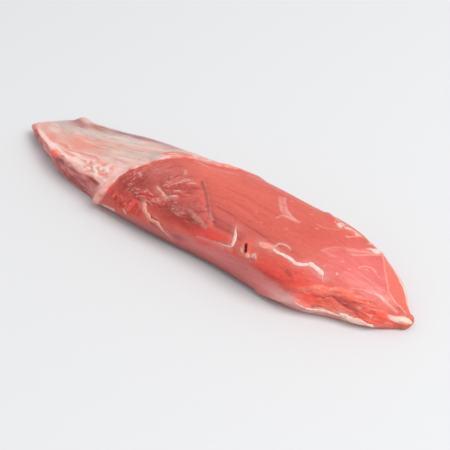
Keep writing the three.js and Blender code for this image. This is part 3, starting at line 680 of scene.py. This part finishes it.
class Skin:
    """The surface over the top as a grid: its points and ways out, and the place and masks of each point."""

    def __init__(self):
        self.along = np.linspace(STATIONS[0], STATIONS[-1], RINGS)
        share = np.linspace(0, 1, OVER + 1)
        self.points = np.zeros((RINGS, OVER + 1, 3))
        self.whole = np.zeros(RINGS)
        for k, sizes in enumerate(sizes_at(self.along)):
            line = outline(sizes)
            steps = np.linalg.norm(np.diff(line, axis=0), axis=1)
            reached = np.concatenate([[0], np.cumsum(steps)])
            self.whole[k] = reached[-1]
            for axis in range(3):
                self.points[k, :, axis] = np.interp(share * reached[-1], reached, line[:, axis])
        self.out = self.ways_out()
        self.a = np.repeat(self.along[:, None], OVER + 1, axis=1)
        self.g = self.whole[:, None] * share
        self.share = np.repeat(share[None], RINGS, axis=0)
        self.fibre = 100 * self.share + 1.6 * cloud(self.a / 30, 100 * self.share / 14, 5)
        self.set_masks()

    def ways_out(self):
        return unit(np.cross(np.gradient(self.points, axis=0), np.gradient(self.points, axis=1)))

    def set_masks(self):
        """Where the kinds of surface lie, with ragged edges."""
        self.rough_a = self.a + 1.8 * cloud(self.a / 7, self.g / 6, 51)
        self.rough_g = self.g + 1.4 * cloud(self.a / 7, self.g / 6, 61)
        a, g = self.rough_a, self.rough_g
        self.membrane = left_of(MEMBRANE_EDGE, a, g, 0.8)
        below_ridge = 1 - left_of(CUT_RIDGE, a, g, 0.7)
        self.cut_side = below_ridge * self.membrane * smooth(*CUT_SIDE_END, self.a)
        below_fold = 1 - left_of(WALL_FOLD, a, g, 1.4)
        self.wall = below_fold * (1 - self.membrane) * (1 - smooth(*WALL_END, self.a))
        below_torn = 1 - left_of(TORN_RIDGE, a, g, 0.8)
        above_foot = left_of(FATTY_FOOT, a, g, 0.6)
        self.torn_face = below_torn * above_foot * smooth(*TORN_START, a)
        self.foot_fat = (1 - above_foot) * smooth(*FOOT_START, a) * (1 - smooth(*FOOT_END, a))
        self.tip_strip = left_of(TIP_RIDGE, self.a, self.g, 0.5) * smooth(*TIP_STRIP_START, self.a)
        crests, wrinkled = wrinkles(self.a + 0.4 * (a - self.a), self.g + 0.4 * (g - self.g))
        self.crests = crests * (1 - self.membrane)
        self.puckered = wrinkled * (1 - self.membrane)
        self.torn = np.maximum(patches(a, g, TORN) * (1 - self.membrane), 0.8 * self.cut_side)
        self.crags = ridges(self.a / 8, self.g / 2.6, 91)
        self.lumps = cloud(self.a / 2.6, self.g / 2, 111, 2)
        self.slit_off = off_route(SLIT, self.a, self.g)[0]

    def raise_by(self, height):
        self.points = self.points + height[..., None] * self.out
        self.points[..., 2] = np.maximum(self.points[..., 2], 0)
        self.out = self.ways_out()

    def read(self, along, girth):
        """The point and the way out at one place, between the grid's points."""
        r = np.clip((along - self.along[0]) / (self.along[1] - self.along[0]), 0, RINGS - 1.001)
        c = np.clip(girth / np.interp(along, self.along, self.whole) * OVER, 0, OVER - 0.001)
        i, j = int(r), int(c)
        weights = np.outer([1 - r + i, r - i], [1 - c + j, c - j])[..., None]
        point = (weights * self.points[i:i + 2, j:j + 2]).sum((0, 1))
        return point, unit((weights * self.out[i:i + 2, j:j + 2]).sum((0, 1)))


def main_relief(s):
    """The relief that the solid has too: the membrane's step and lip, valleys, edges and swellings."""
    distance, side = off_route(MEMBRANE_EDGE, s.a, s.g)
    stepped = smooth(0, STEP_SLOPE, distance) * (1 - smooth(STEP_SLOPE, STEP_FADE, distance))
    stepped = stepped * (1 - 0.8 * smooth(*STEP_FAR_FADE, s.g))
    uneven = 1 + 0.4 * cloud(s.a / 5, s.g / 5, 11)
    ear = 1 - smooth(EAR_FROM, EAR_TO, s.g)
    height = LIP_HEIGHT * (1 + 0.3 * ear) * bell(distance / (LIP_WIDTH * (1 + 0.6 * ear))) * uneven
    height -= np.where(side > 0, MEMBRANE_STEP * stepped, 0)
    for route, crag_shade, width in VALLEYS:
        height -= crag_shade * bell(off_route(route, s.a, s.g)[0] / width)
    for route, rise, width in EDGES:
        height += rise * bell(off_route(route, s.a, s.g)[0] / width) * uneven
    for centre, reach, rise in SWELLINGS:
        height += rise * patch(s.a, s.g, centre, reach)
    return height


def fine_relief(s):
    """Relief finer than the solid's: bundles, fibres, puckers, crags, crumbs and the membrane's streaks."""
    plain = (1 - s.membrane) * (1 - 0.6 * s.wall)
    height = plain * 0.28 * cloud(s.a / 36, s.fibre / 6.5, 21)
    height += plain * 0.04 * cloud(s.a / 16, s.fibre / 2.2, 31, 2)
    height += 0.8 * s.crests - 0.45 * s.puckered
    height += s.torn * 0.5 * cloud(s.a / 5.5, s.g / 3.4, 81)
    height += s.torn_face * (0.6 * s.crags - 0.3)
    height += 0.5 * s.foot_fat
    streak_a, streak_g = slanted(s.a, s.g, STREAK_SLANT)
    height += s.membrane * (1 - s.cut_side) * 0.16 * cloud(streak_a / 18, streak_g / 3.2, 101)
    crumbs = patch(s.a, s.g, *CRUMB_RELIEF) * s.membrane
    height += crumbs * 0.7 * smooth(-0.1, 0.4, s.lumps)
    height += 0.25 * cloud(s.a / 12, s.g / 9, 121)
    height += SLIT_RIM * bell(s.slit_off / 2.6) - (SLIT_DEPTH + SLIT_RIM) * bell(s.slit_off / SLIT_WIDTH)
    return height


def slanted(a, g, turn):
    """Places measured along and across a slanting grain."""
    c, s = math.cos(math.radians(turn)), math.sin(math.radians(turn))
    return a * c + g * s, g * c - a * s


class Paint:
    """The base colour of the surface, laid on in soft patches and strokes."""

    def __init__(self, s, first):
        self.s = s
        self.tone = np.repeat(np.repeat(linear(first)[None, None], RINGS, 0), OVER + 1, 1)

    def fill(self, colour, cover):
        self.tone += np.clip(cover, 0, 1)[..., None] * (linear(colour) - self.tone)

    def dabs(self, dabs, mask):
        for colour, a, g, long, wide, slant, strength in dabs:
            cover = patch(self.s.rough_a, self.s.rough_g, (a, g), (long, wide), slant)
            self.fill(colour, mask * strength * cover)

    def streaks(self, streaks, mask, a, g):
        for colour, strength, length, gap, low, high, seed in streaks:
            self.fill(colour, strength * mask * smooth(low, high, cloud(a / length, g / gap, seed)))

    def strokes(self, strokes):
        a = self.s.a * 0.75 + self.s.rough_a * 0.25
        g = self.s.g * 0.75 + self.s.rough_g * 0.25
        broken = 0.85 + 0.3 * cloud(self.s.a / 4, self.s.g / 3, 131)
        for colour, route, half, strength in strokes:
            distance = off_route(route, a, g)[0]
            self.fill(colour, strength * broken * smooth(1.7 * half, 0.3 * half, distance))

    def bands(self, bands):
        a = self.s.a * 0.6 + self.s.rough_a * 0.4
        g = self.s.g * 0.6 + self.s.rough_g * 0.4
        for colour, strength, route in bands:
            self.fill(colour, strength * band_cover(route, a, g))


def painted(s):
    """The base colour at every point over the top, with painted highlights and shade in it."""
    paint = Paint(s, "lean")
    paint.dabs(LEAN_DABS, 1)
    paint.fill("wall", s.wall)
    paint.dabs(WALL_DABS, s.wall)
    paint.fill("torn light", 0.8 * s.torn_face)
    paint.dabs(TORN_DABS, np.maximum(s.torn_face, 0.3 * smooth(80, 90, s.a)))
    # Painted shade: deep red in the hollows between the torn face's crags.
    paint.fill("deep red", 0.3 * s.torn_face * smooth(0.45, 0.1, s.crags))
    # Painted highlights: fine pale glints over the torn face.
    painted_glints = smooth(0.35, 0.5, cloud(s.a / 2, s.g / 1.3, 95))
    paint.fill("fat pink", 0.6 * s.torn_face * painted_glints)
    paint.fill("bright lean", 0.7 * s.tip_strip)
    paint_far_side(paint, s)
    # Painted highlights and shade on the wrinkles.
    paint_pucker_highlights_and_shade(paint, s)
    paint_thin_end(paint, s)
    paint_lip(paint, s)
    pale = smooth(0, 0.4, cloud(s.a / 6, s.g / 2, 97))
    paint.fill("pink cut", 0.9 * s.foot_fat)
    paint.fill("foot fat", 0.8 * s.foot_fat * np.minimum(pale, 1))
    paint_seam(paint, s)
    paint_strand_beds(paint, s)
    paint.strokes(STROKES)
    paint.bands(BANDS)
    for spot in SPECKS:
        paint.fill("fat pink", 0.5 * patch(s.a, s.g, spot, [0.6, 0.5]))
    paint.fill("orange lean", 0.6 * bell(s.slit_off / 2.4))
    # Painted shade inside the slit.
    paint.fill("slit", smooth(0.9, 0.4, s.slit_off))
    return paint.tone


def paint_seam(paint, s):
    """Crumbs of fat along the seam over the far side of the tip."""
    near_seam = bell(off_route(SEAM_CRUMBS, s.a, s.g)[0] / 2.4)
    crumbs = near_seam * smooth(0.05, 0.3, cloud(s.a / 2.2, s.g / 1.6, 231, 2))
    paint.fill("orange lean", 0.5 * near_seam)
    paint.fill("crumb fat", 0.9 * smooth(0.2, 0.5, crumbs))


def paint_strand_beds(paint, s):
    """Soft pink film round each strand."""
    for colour, route in STRANDS:
        width = 0.5 + max(half for *_, half in route)
        distance = off_route([place[:2] for place in route], s.rough_a, s.rough_g)[0]
        paint.fill("film pink", 0.45 * (1 - s.membrane) * bell(distance / width))


def paint_far_side(paint, s):
    """Past the crest the film thickens, and grey and pink streaks of it run along the far wall."""
    far = smooth(78, 90, s.fibre) * (1 - s.membrane)
    paint.fill("wall", 0.6 * far)
    paint.streaks(FAR_WALL_STREAKS, far, s.a, s.fibre)


def paint_pucker_highlights_and_shade(paint, s):
    """Painted highlights on the wrinkles' crests and painted shade in the grooves between them."""
    paint.fill("deep red", 0.5 * s.puckered * smooth(0.5, 0.2, s.crests))
    paint.fill("fat pink", 0.6 * smooth(0.74, 0.93, s.crests))


def paint_thin_end(paint, s):
    """The membrane with its streaks, the crumbs by its near edge and the cut side below its ridge."""
    a, g = slanted(s.a, s.g, STREAK_SLANT)
    top = s.membrane * (1 - s.cut_side)
    paint.fill("membrane", s.membrane)
    paint.dabs(THIN_END_DABS, top)
    near = top * (1 - smooth(*BROAD_STREAKS_END, s.g))
    paint.streaks(NEAR_STREAKS, near, a, g)
    paint.streaks(FAR_STREAKS, top - near, a, g)
    crumbs = smooth(0.1, 0.6, patch(s.a, s.g, *CRUMB_FIELD)) * top
    # Salmon and fresh red in the gaps between the raised crumbs: partly the lean between them, partly
    # painted shade.
    paint.fill("salmon", 0.6 * crumbs * smooth(0.3, 0, s.lumps))
    paint.fill("crumb fat", 0.9 * crumbs * smooth(-0.05, 0.2, s.lumps))
    paint.fill("fresh red", 0.6 * crumbs * smooth(-0.3, -0.5, s.lumps))
    paint.fill("cut side", s.cut_side)
    paint.streaks(CUT_SIDE_MOTTLE, s.cut_side, s.a, s.g)
    paint.dabs(CUT_SIDE_DABS, s.cut_side)


def paint_lip(paint, s):
    """The membrane's rolled edge is thick and pale at its near end, and breaks up along the far side."""
    distance = off_route(MEMBRANE_EDGE, 0.5 * (s.a + s.rough_a), 0.5 * (s.g + s.rough_g))[0]
    near_end = 1 - smooth(EAR_FROM, EAR_TO, s.g)
    far_end = smooth(*LIP_BREAK, s.g)
    half = 0.8 + 1.7 * near_end + 0.7 * far_end
    cover = smooth(1.4, 0.6, distance / half)
    paint.fill("fat pink", 0.9 * cover)
    streak = smooth(-0.2, 0.2, cloud(s.a / 3.4, s.g / 3.4, 201))
    paint.fill("white pink", 0.8 * cover * streak * (1 - 0.6 * far_end))
    paint.fill("orange lean", 0.6 * far_end * cover * (1 - streak))
    paint.fill("ear pink", 0.7 * near_end * cover * (1 - 0.6 * streak))


def under_tone(s, feet):
    """The underside: lean with patches of silvery film. Its edges take the colours of both feet."""
    t = np.linspace(0, 1, UNDER + 1)[1:-1]
    a = np.repeat(s.along[:, None], len(t), axis=1)
    across = np.repeat(50 * t[None], RINGS, axis=0)
    tone = np.repeat(np.repeat(linear("under")[None, None], RINGS, 0), len(t), 1)
    film = 0.7 * smooth(0, 0.5, cloud(a / 26, across / 8, 211))
    dark = 0.5 * smooth(0.1, 0.6, cloud(a / 15, across / 7, 221))
    for colour, cover in (("film grey", film), ("dark lean", dark)):
        tone += cover[..., None] * (linear(colour) - tone)
    for foot, near in zip(feet, (smooth(0.2, 0, t), smooth(0.8, 1, t))):
        tone += near[None, :, None] * (foot[:, None] - tone)
    return tone


def end_rings(ring, bulge):
    """Rings that close an end, each smaller and further out, and the pole beyond them."""
    middle = ring.mean(axis=0)
    turns = np.arange(1, END_RINGS + 1) / (END_RINGS + 1) * math.pi / 2
    rings = [middle + (ring - middle) * math.cos(t) + bulge * math.sin(t) for t in turns]
    return rings, middle + bulge


def with_ends(grid):
    """A grid with its first and last row repeated for the rings of the ends."""
    return np.concatenate([np.repeat(grid[:1], END_RINGS, 0), grid, np.repeat(grid[-1:], END_RINGS, 0)])


def muscle_arrays(s):
    """All rings of the closed skin from end to end: points, base colours and places, and both poles."""
    far_foot, near_foot = s.points[:, -1], s.points[:, 0]
    t = np.linspace(0, 1, UNDER + 1)[1:-1]
    under = far_foot[:, None] + t[None, :, None] * (near_foot - far_foot)[:, None]
    dents = 0.5 * (1 + cloud(under[..., 0] / 18, under[..., 1] / 9, 231))
    under[..., 2] += dents * smooth(0, 0.2, t) * smooth(1, 0.8, t) * 0.6
    points = np.concatenate([s.points, under], axis=1)
    over_tone = painted(s)
    tone = np.concatenate([over_tone, under_tone(s, (over_tone[:, -1], over_tone[:, 0]))], axis=1)
    under_place = np.stack([under[..., 0], np.repeat(100 * (1 - t)[None], RINGS, 0),
                            np.repeat(30 * (t * (1 - t))[None], RINGS, 0)], axis=-1)
    over_place = np.stack([s.a, s.fibre, np.zeros_like(s.a)], axis=-1)
    place = np.concatenate([over_place, under_place], axis=1)
    first, first_pole = end_rings(points[0], CUT_END_BULGE)
    last, last_pole = end_rings(points[-1], TIP_BULGE)
    steps = np.arange(1, END_RINGS + 1)
    shift = np.array([1.0, 0, 0])
    rings = np.concatenate([np.array(first[::-1]), points, np.array(last)])
    tones = with_ends(tone)
    places = np.concatenate([place[:1] - steps[::-1, None, None] * shift, place,
                             place[-1:] + steps[:, None, None] * shift])
    return rings, tones, places, first_pole, last_pole


def add_object(name, data):
    item = bpy.data.objects.new(name, data)
    bpy.context.scene.collection.objects.link(item)
    return item


def mesh_object(name, points, faces, material):
    """A smooth-shaded mesh object from points in millimetres."""
    mesh = bpy.data.meshes.new(name)
    mesh.from_pydata((np.asarray(points) * MM).tolist(), [], faces)
    mesh.polygons.foreach_set("use_smooth", [True] * len(mesh.polygons))
    mesh.materials.append(material)
    mesh.update()
    return add_object(name, mesh)


def tube_faces(count, columns):
    """Quads between rings of points and fans to the two poles, which are the first and the last point."""
    def at(ring, k):
        return 1 + ring * columns + k % columns

    last = 1 + count * columns
    faces = [(0, at(0, k), at(0, k + 1)) for k in range(columns)]
    faces += [(at(r, k), at(r + 1, k), at(r + 1, k + 1), at(r, k + 1))
              for r in range(count - 1) for k in range(columns)]
    faces += [(last, at(count - 1, k + 1), at(count - 1, k)) for k in range(columns)]
    return faces


def tube_uvs(count, columns):
    """UVs for tube_faces: along the tube and round it, with one seam."""
    def u(ring):
        return UV_MARGIN + (1 - 2 * UV_MARGIN) * (ring + 1) / (count + 1)

    def v(k):
        return UV_MARGIN + (1 - 2 * UV_MARGIN) * k / columns

    uvs = []
    for k in range(columns):
        uvs += [(UV_MARGIN, v(k + 0.5)), (u(0), v(k)), (u(0), v(k + 1))]
    for r in range(count - 1):
        for k in range(columns):
            uvs += [(u(r), v(k)), (u(r + 1), v(k)), (u(r + 1), v(k + 1)), (u(r), v(k + 1))]
    for k in range(columns):
        uvs += [(1 - UV_MARGIN, v(k + 0.5)), (u(count - 1), v(k + 1)), (u(count - 1), v(k))]
    return uvs


def add_uvs(mesh, uvs):
    layer = mesh.uv_layers.new(name="OFBake")
    layer.data.foreach_set("uv", np.array(uvs, np.float32).ravel())


def add_colours(mesh, name, colours):
    layer = mesh.color_attributes.new(name, "FLOAT_COLOR", "POINT")
    alpha = np.ones((len(colours), 1))
    layer.data.foreach_set("color", np.concatenate([colours, alpha], 1).astype(np.float32).ravel())


def add_vectors(mesh, name, vectors):
    layer = mesh.attributes.new(name, "FLOAT_VECTOR", "POINT")
    layer.data.foreach_set("vector", np.asarray(vectors, np.float32).ravel())


def full_grid(over, fill=0.0):
    """A mask over the top as one over all rings and columns of the closed skin."""
    under = np.full((RINGS, UNDER - 1), fill)
    grid = np.concatenate([over, under], axis=1)
    return with_ends(grid)


def wrap(grid):
    """The values of a grid in the order of its mesh: the first pole, all rings, the last pole."""
    return np.concatenate([grid[:1].mean(1), grid.reshape(-1, grid.shape[-1]), grid[-1:].mean(1)])


def make_muscle(s, material):
    rings, tones, places, first_pole, last_pole = muscle_arrays(s)
    count, columns = rings.shape[:2]
    points = np.concatenate([[first_pole], rings.reshape(-1, 3), [last_pole]])
    muscle = mesh_object("muscle", points, tube_faces(count, columns), material)
    add_colours(muscle.data, "tone", wrap(tones))
    add_vectors(muscle.data, "place", wrap(places))
    kinds = np.stack([full_grid(s.membrane), full_grid(s.puckered), full_grid(s.torn, 0.2)], axis=-1)
    add_colours(muscle.data, "kinds", wrap(kinds))
    add_uvs(muscle.data, tube_uvs(count, columns))
    return muscle


def strand_rings(s, route, seed):
    """Rings of one strand that lies along its route, half sunk, uneven in width."""
    route = np.array(route)
    lengths = np.concatenate([[0], np.cumsum(np.hypot(*np.diff(route[:, :2], axis=0).T))])
    steps = np.linspace(0, lengths[-1], max(6, int(lengths[-1] / STRAND_STEP)))
    places = np.stack([np.interp(steps, lengths, route[:, k]) for k in range(3)], axis=1)
    soft = np.array([0.25, 0.5, 0.25])
    for _ in range(2):
        places[1:-1] = sum(w * places[k:len(places) - 2 + k] for k, w in enumerate(soft))
    places[:, 2] *= 1 + 0.28 * cloud(steps / 2.2, steps * 0, seed)
    places[:, 1] += 0.2 * cloud(steps / 3, steps * 0, seed + 7)
    read = [s.read(a, g) for a, g, _ in places]
    centres = np.array([point for point, _ in read])
    outs = np.array([out for _, out in read])
    to_end = np.minimum(steps, lengths[-1] - steps)
    halves = places[:, 2] * np.sqrt(np.clip(to_end / places[:, 2] + 0.1, 0, 1))
    centres -= STRAND_SINK * halves[:, None] * outs
    sides = unit(np.cross(np.gradient(centres, axis=0), outs))
    turns = np.arange(STRAND_SIDES) / STRAND_SIDES * 2 * math.pi
    lumpy = 1 + 0.18 * cloud(np.cos(turns)[None] * 1.3 + steps[:, None], np.sin(turns)[None] * 1.3, seed + 9)
    wide = (halves[:, None] * np.cos(turns)[None] * lumpy)[..., None] * sides[:, None]
    tall = (halves[:, None] * STRAND_FLATNESS * np.sin(turns)[None] * lumpy)[..., None] * outs[:, None]
    return centres[:, None] + wide + tall


def make_strands(s, material):
    """All strands as one mesh, each a closed tube of its own."""
    points, faces, uvs, tones = [], [], [], []
    for seed, (colour, route) in enumerate(STRANDS):
        rings = strand_rings(s, route, 300 + 20 * seed)
        count, columns = rings.shape[:2]
        tube = np.concatenate([[rings[0].mean(0)], rings.reshape(-1, 3), [rings[-1].mean(0)]])
        faces += [tuple(k + len(points) for k in face) for face in tube_faces(count, columns)]
        points += list(tube)
        tones += [linear(colour)] * len(tube)
        band = np.array(tube_uvs(count, columns))
        band[:, 1] = (seed + band[:, 1]) / len(STRANDS)
        uvs += band.tolist()
    strands = mesh_object("fat_strands", points, faces, material)
    add_colours(strands.data, "tone", np.array(tones))
    add_vectors(strands.data, "place", points)
    add_uvs(strands.data, uvs)
    return strands


class Nodes:
    """Adds shader nodes to one material."""

    def __init__(self, name):
        self.material = bpy.data.materials.new(name)
        self.material.use_nodes = True
        self.tree = self.material.node_tree
        self.shader = self.tree.nodes["Principled BSDF"]

    def add(self, kind, **settings):
        node = self.tree.nodes.new("ShaderNode" + kind)
        for key, value in settings.items():
            setattr(node, key, value)
        return node

    def plug(self, socket, value):
        """Links an output to an input, or sets the input's own value."""
        if isinstance(value, bpy.types.NodeSocket):
            self.tree.links.new(value, socket)
        else:
            socket.default_value = value

    def attribute(self, name):
        return self.add("Attribute", attribute_name=name).outputs

    def noise(self, vector, scale, detail=3, roughness=0.55, distortion=0.0):
        """Noise stretched by three scales, one for each axis of the vector."""
        scaled = self.add("VectorMath", operation="MULTIPLY")
        self.plug(scaled.inputs[0], vector)
        self.plug(scaled.inputs[1], scale)
        node = self.add("TexNoise", noise_dimensions="3D")
        values = (scaled.outputs[0], 1, detail, roughness, distortion)
        for name, value in zip(("Vector", "Scale", "Detail", "Roughness", "Distortion"), values):
            self.plug(node.inputs[name], value)
        return node.outputs["Fac"]

    def math(self, operation, a, b=0.0, c=0.0):
        node = self.add("Math", operation=operation)
        for socket, value in zip(node.inputs, (a, b, c)):
            self.plug(socket, value)
        return node.outputs[0]

    def steps(self, value, low, high, to_low=0.0, to_high=1.0):
        """value mapped smoothly from low..high to to_low..to_high."""
        node = self.add("MapRange", interpolation_type="SMOOTHSTEP")
        for socket, number in zip(node.inputs, (value, low, high, to_low, to_high)):
            self.plug(socket, number)
        return node.outputs[0]

    def mix(self, factor, a, b, blend="MIX"):
        node = self.add("Mix", data_type="RGBA", blend_type=blend)
        self.plug(node.inputs["Factor"], factor)
        self.plug(node.inputs[6], a)
        self.plug(node.inputs[7], b)
        return node.outputs[2]

    def bump(self, height, distance, strength, normal=None):
        node = self.add("Bump")
        node.inputs["Distance"].default_value = distance
        node.inputs["Strength"].default_value = strength
        self.plug(node.inputs["Height"], height)
        if normal is not None:
            self.plug(node.inputs["Normal"], normal)
        return node.outputs[0]

    def finish(self, **sockets):
        for name, value in sockets.items():
            self.plug(self.shader.inputs[name.replace("_", " ")], value)
        return self.material


def rgb(colour):
    return (*linear(colour), 1)


def muscle_material():
    """Wet raw meat: the painted base colour with fibres, seams, flecks of fat and mottling over it, and
    painted highlights and shade on its crags.
    """
    n = Nodes("raw_muscle")
    tone = n.attribute("tone")["Color"]
    place = n.attribute("place")["Vector"]
    kinds = n.add("SeparateColor")
    n.plug(kinds.inputs[0], n.attribute("kinds")["Color"])
    membrane, puckered, torn = kinds.outputs
    fibre = n.noise(place, (0.06, 0.75, 0.75), 4, 0.6, 0.2)
    thread = n.noise(place, (0.22, 2.6, 2.6), 3, 0.6)
    mottle = n.noise(place, (0.3, 0.42, 0.42), 4, 0.6)
    seam = n.noise(place, (0.022, 0.3, 0.3), 2, 0.5)
    fleck = n.noise(place, (0.45, 1.3, 1.3), 2, 0.5)
    grain = n.math("ADD", n.math("MULTIPLY", fibre, 0.6), n.math("MULTIPLY", thread, 0.4))
    lean = n.math("SUBTRACT", 1.0, membrane)
    dark = n.mix(1.0, tone, (0.94, 0.88, 0.88, 1), "MULTIPLY")
    pale = n.mix(1.0, tone, (1.03, 1.05, 1.05, 1), "MULTIPLY")
    colour = n.mix(n.steps(grain, 0.34, 0.66), dark, pale)
    colour = n.mix(n.math("MULTIPLY", membrane, 0.6), colour, tone)
    line = n.math("ABSOLUTE", n.math("SUBTRACT", seam, 0.5))
    line = n.math("MULTIPLY", n.steps(line, 0.0, 0.012, 0.35, 0.0), lean)
    colour = n.mix(line, colour, dark)
    spots = n.math("MULTIPLY", n.steps(fleck, 0.66, 0.74, 0.0, 0.5), n.math("ADD", lean, 0.2))
    colour = n.mix(spots, colour, rgb("film pink"))
    patchy = n.mix(1.0, colour, (0.92, 0.86, 0.86, 1), "MULTIPLY")
    colour = n.mix(n.steps(mottle, 0.5, 0.3), colour, patchy)
    fine = n.bump(grain, 0.0006, 0.2)
    crag = n.noise(place, (0.5, 0.8, 0.8), 4, 0.65)
    rough = n.math("ADD", torn, n.math("ADD", puckered, 0.12))
    # Painted highlights on the high points of the crag relief and painted shade in its hollows, strongest
    # where the surface is torn or puckered.
    crag_highlight = n.math("MULTIPLY", rough, n.steps(crag, 0.56, 0.7, 0.0, 0.4))
    colour = n.mix(crag_highlight, colour, rgb("film pink"))
    crag_shade = n.math("MULTIPLY", rough, n.steps(crag, 0.46, 0.32, 0.0, 0.5))
    colour = n.mix(crag_shade, colour, n.mix(1.0, tone, (0.74, 0.5, 0.5, 1), "MULTIPLY"))
    crag = n.math("MULTIPLY", crag, rough)
    relief = n.bump(crag, 0.0012, 0.6, fine)
    gloss = n.noise(place, (0.15, 0.3, 0.3), 3)
    return n.finish(
        Base_Color=colour, Roughness=n.steps(gloss, 0.3, 0.7, 0.35, 0.5), Normal=relief,
        Specular_IOR_Level=0.35, Coat_Weight=0.2, Coat_Roughness=0.16, Coat_Normal=n.bump(crag, 0.0012, 0.5),
        Subsurface_Weight=0.15, Subsurface_Radius=(1.0, 0.3, 0.2), Subsurface_Scale=0.004)


def fat_material():
    """Moist fat in each strand's own colour, with pink blotches."""
    n = Nodes("fat")
    tone = n.attribute("tone")["Color"]
    place = n.attribute("place")["Vector"]
    blotch = n.noise(place, (0.5, 0.5, 0.5), 3)
    fine = n.noise(place, (1.6, 1.6, 1.6), 3)
    colour = n.mix(n.steps(blotch, 0.45, 0.7, 0.0, 0.5), tone, rgb("film pink"))
    colour = n.mix(n.steps(fine, 0.55, 0.7, 0.0, 0.5), colour, rgb("white pink"))
    return n.finish(
        Base_Color=colour, Roughness=n.steps(fine, 0.3, 0.7, 0.35, 0.5), Normal=n.bump(fine, 0.0006, 0.5),
        Specular_IOR_Level=0.3, Coat_Weight=0.15, Coat_Roughness=0.2,
        Subsurface_Weight=0.2, Subsurface_Radius=(1.0, 0.6, 0.4), Subsurface_Scale=0.002)


def floor_material():
    n = Nodes("pale_floor")
    return n.finish(Base_Color=FLOOR_COLOUR, Roughness=0.8, Specular_IOR_Level=0.2)


def make_floor():
    mesh = bpy.data.meshes.new("floor")
    corners = [(x * FLOOR_HALF, y * FLOOR_HALF, 0) for x, y in ((-1, -1), (1, -1), (1, 1), (-1, 1))]
    mesh.from_pydata(corners, [], [(0, 1, 2, 3)])
    mesh.materials.append(floor_material())
    add_object("floor", mesh)


def make_light():
    """Soft light from above and behind, with a bright even surround."""
    world = bpy.data.worlds.new("surround")
    world.use_nodes = True
    background = world.node_tree.nodes["Background"]
    background.inputs["Color"].default_value = SURROUND_COLOUR
    background.inputs["Strength"].default_value = SURROUND_STRENGTH
    bpy.context.scene.world = world
    data = bpy.data.lights.new("sky_panel", "AREA")
    data.shape = "SQUARE"
    data.size = PANEL_SIZE
    data.energy = PANEL_POWER
    panel = add_object("sky_panel", data)
    panel.location = PANEL_PLACE
    panel.rotation_euler = (-PANEL_PLACE).to_track_quat("-Z", "Y").to_euler()


def make_camera():
    data = bpy.data.cameras.new("camera")
    data.lens = CAMERA_LENS
    data.sensor_width = SENSOR_WIDTH
    camera = add_object("camera", data)
    turn, rise = math.radians(CAMERA_TURN), math.radians(CAMERA_RISE)
    back = Vector((math.sin(turn) * math.cos(rise), -math.cos(turn) * math.cos(rise), math.sin(rise)))
    camera.location = (Vector(CAMERA_AIM) + back * CAMERA_REACH) * MM
    camera.rotation_euler = (-back).to_track_quat("-Z", "Y").to_euler()
    bpy.context.scene.camera = camera


def set_view():
    view = bpy.context.scene.view_settings
    view.view_transform = "Standard"
    view.look = "None"


skin = Skin()
far_girth = skin.whole[:, None] - skin.g
foot_clear = smooth(*RELIEF_START, skin.g) * smooth(*RELIEF_START, far_girth)
skin.raise_by(main_relief(skin) * foot_clear)
skin.raise_by(fine_relief(skin) * foot_clear)

muscle = make_muscle(skin, muscle_material())
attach(muscle, "root")
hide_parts("shoulder_tender")

strands = make_strands(skin, fat_material())
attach(strands, "root")

make_floor()
make_light()
make_camera()
set_view()
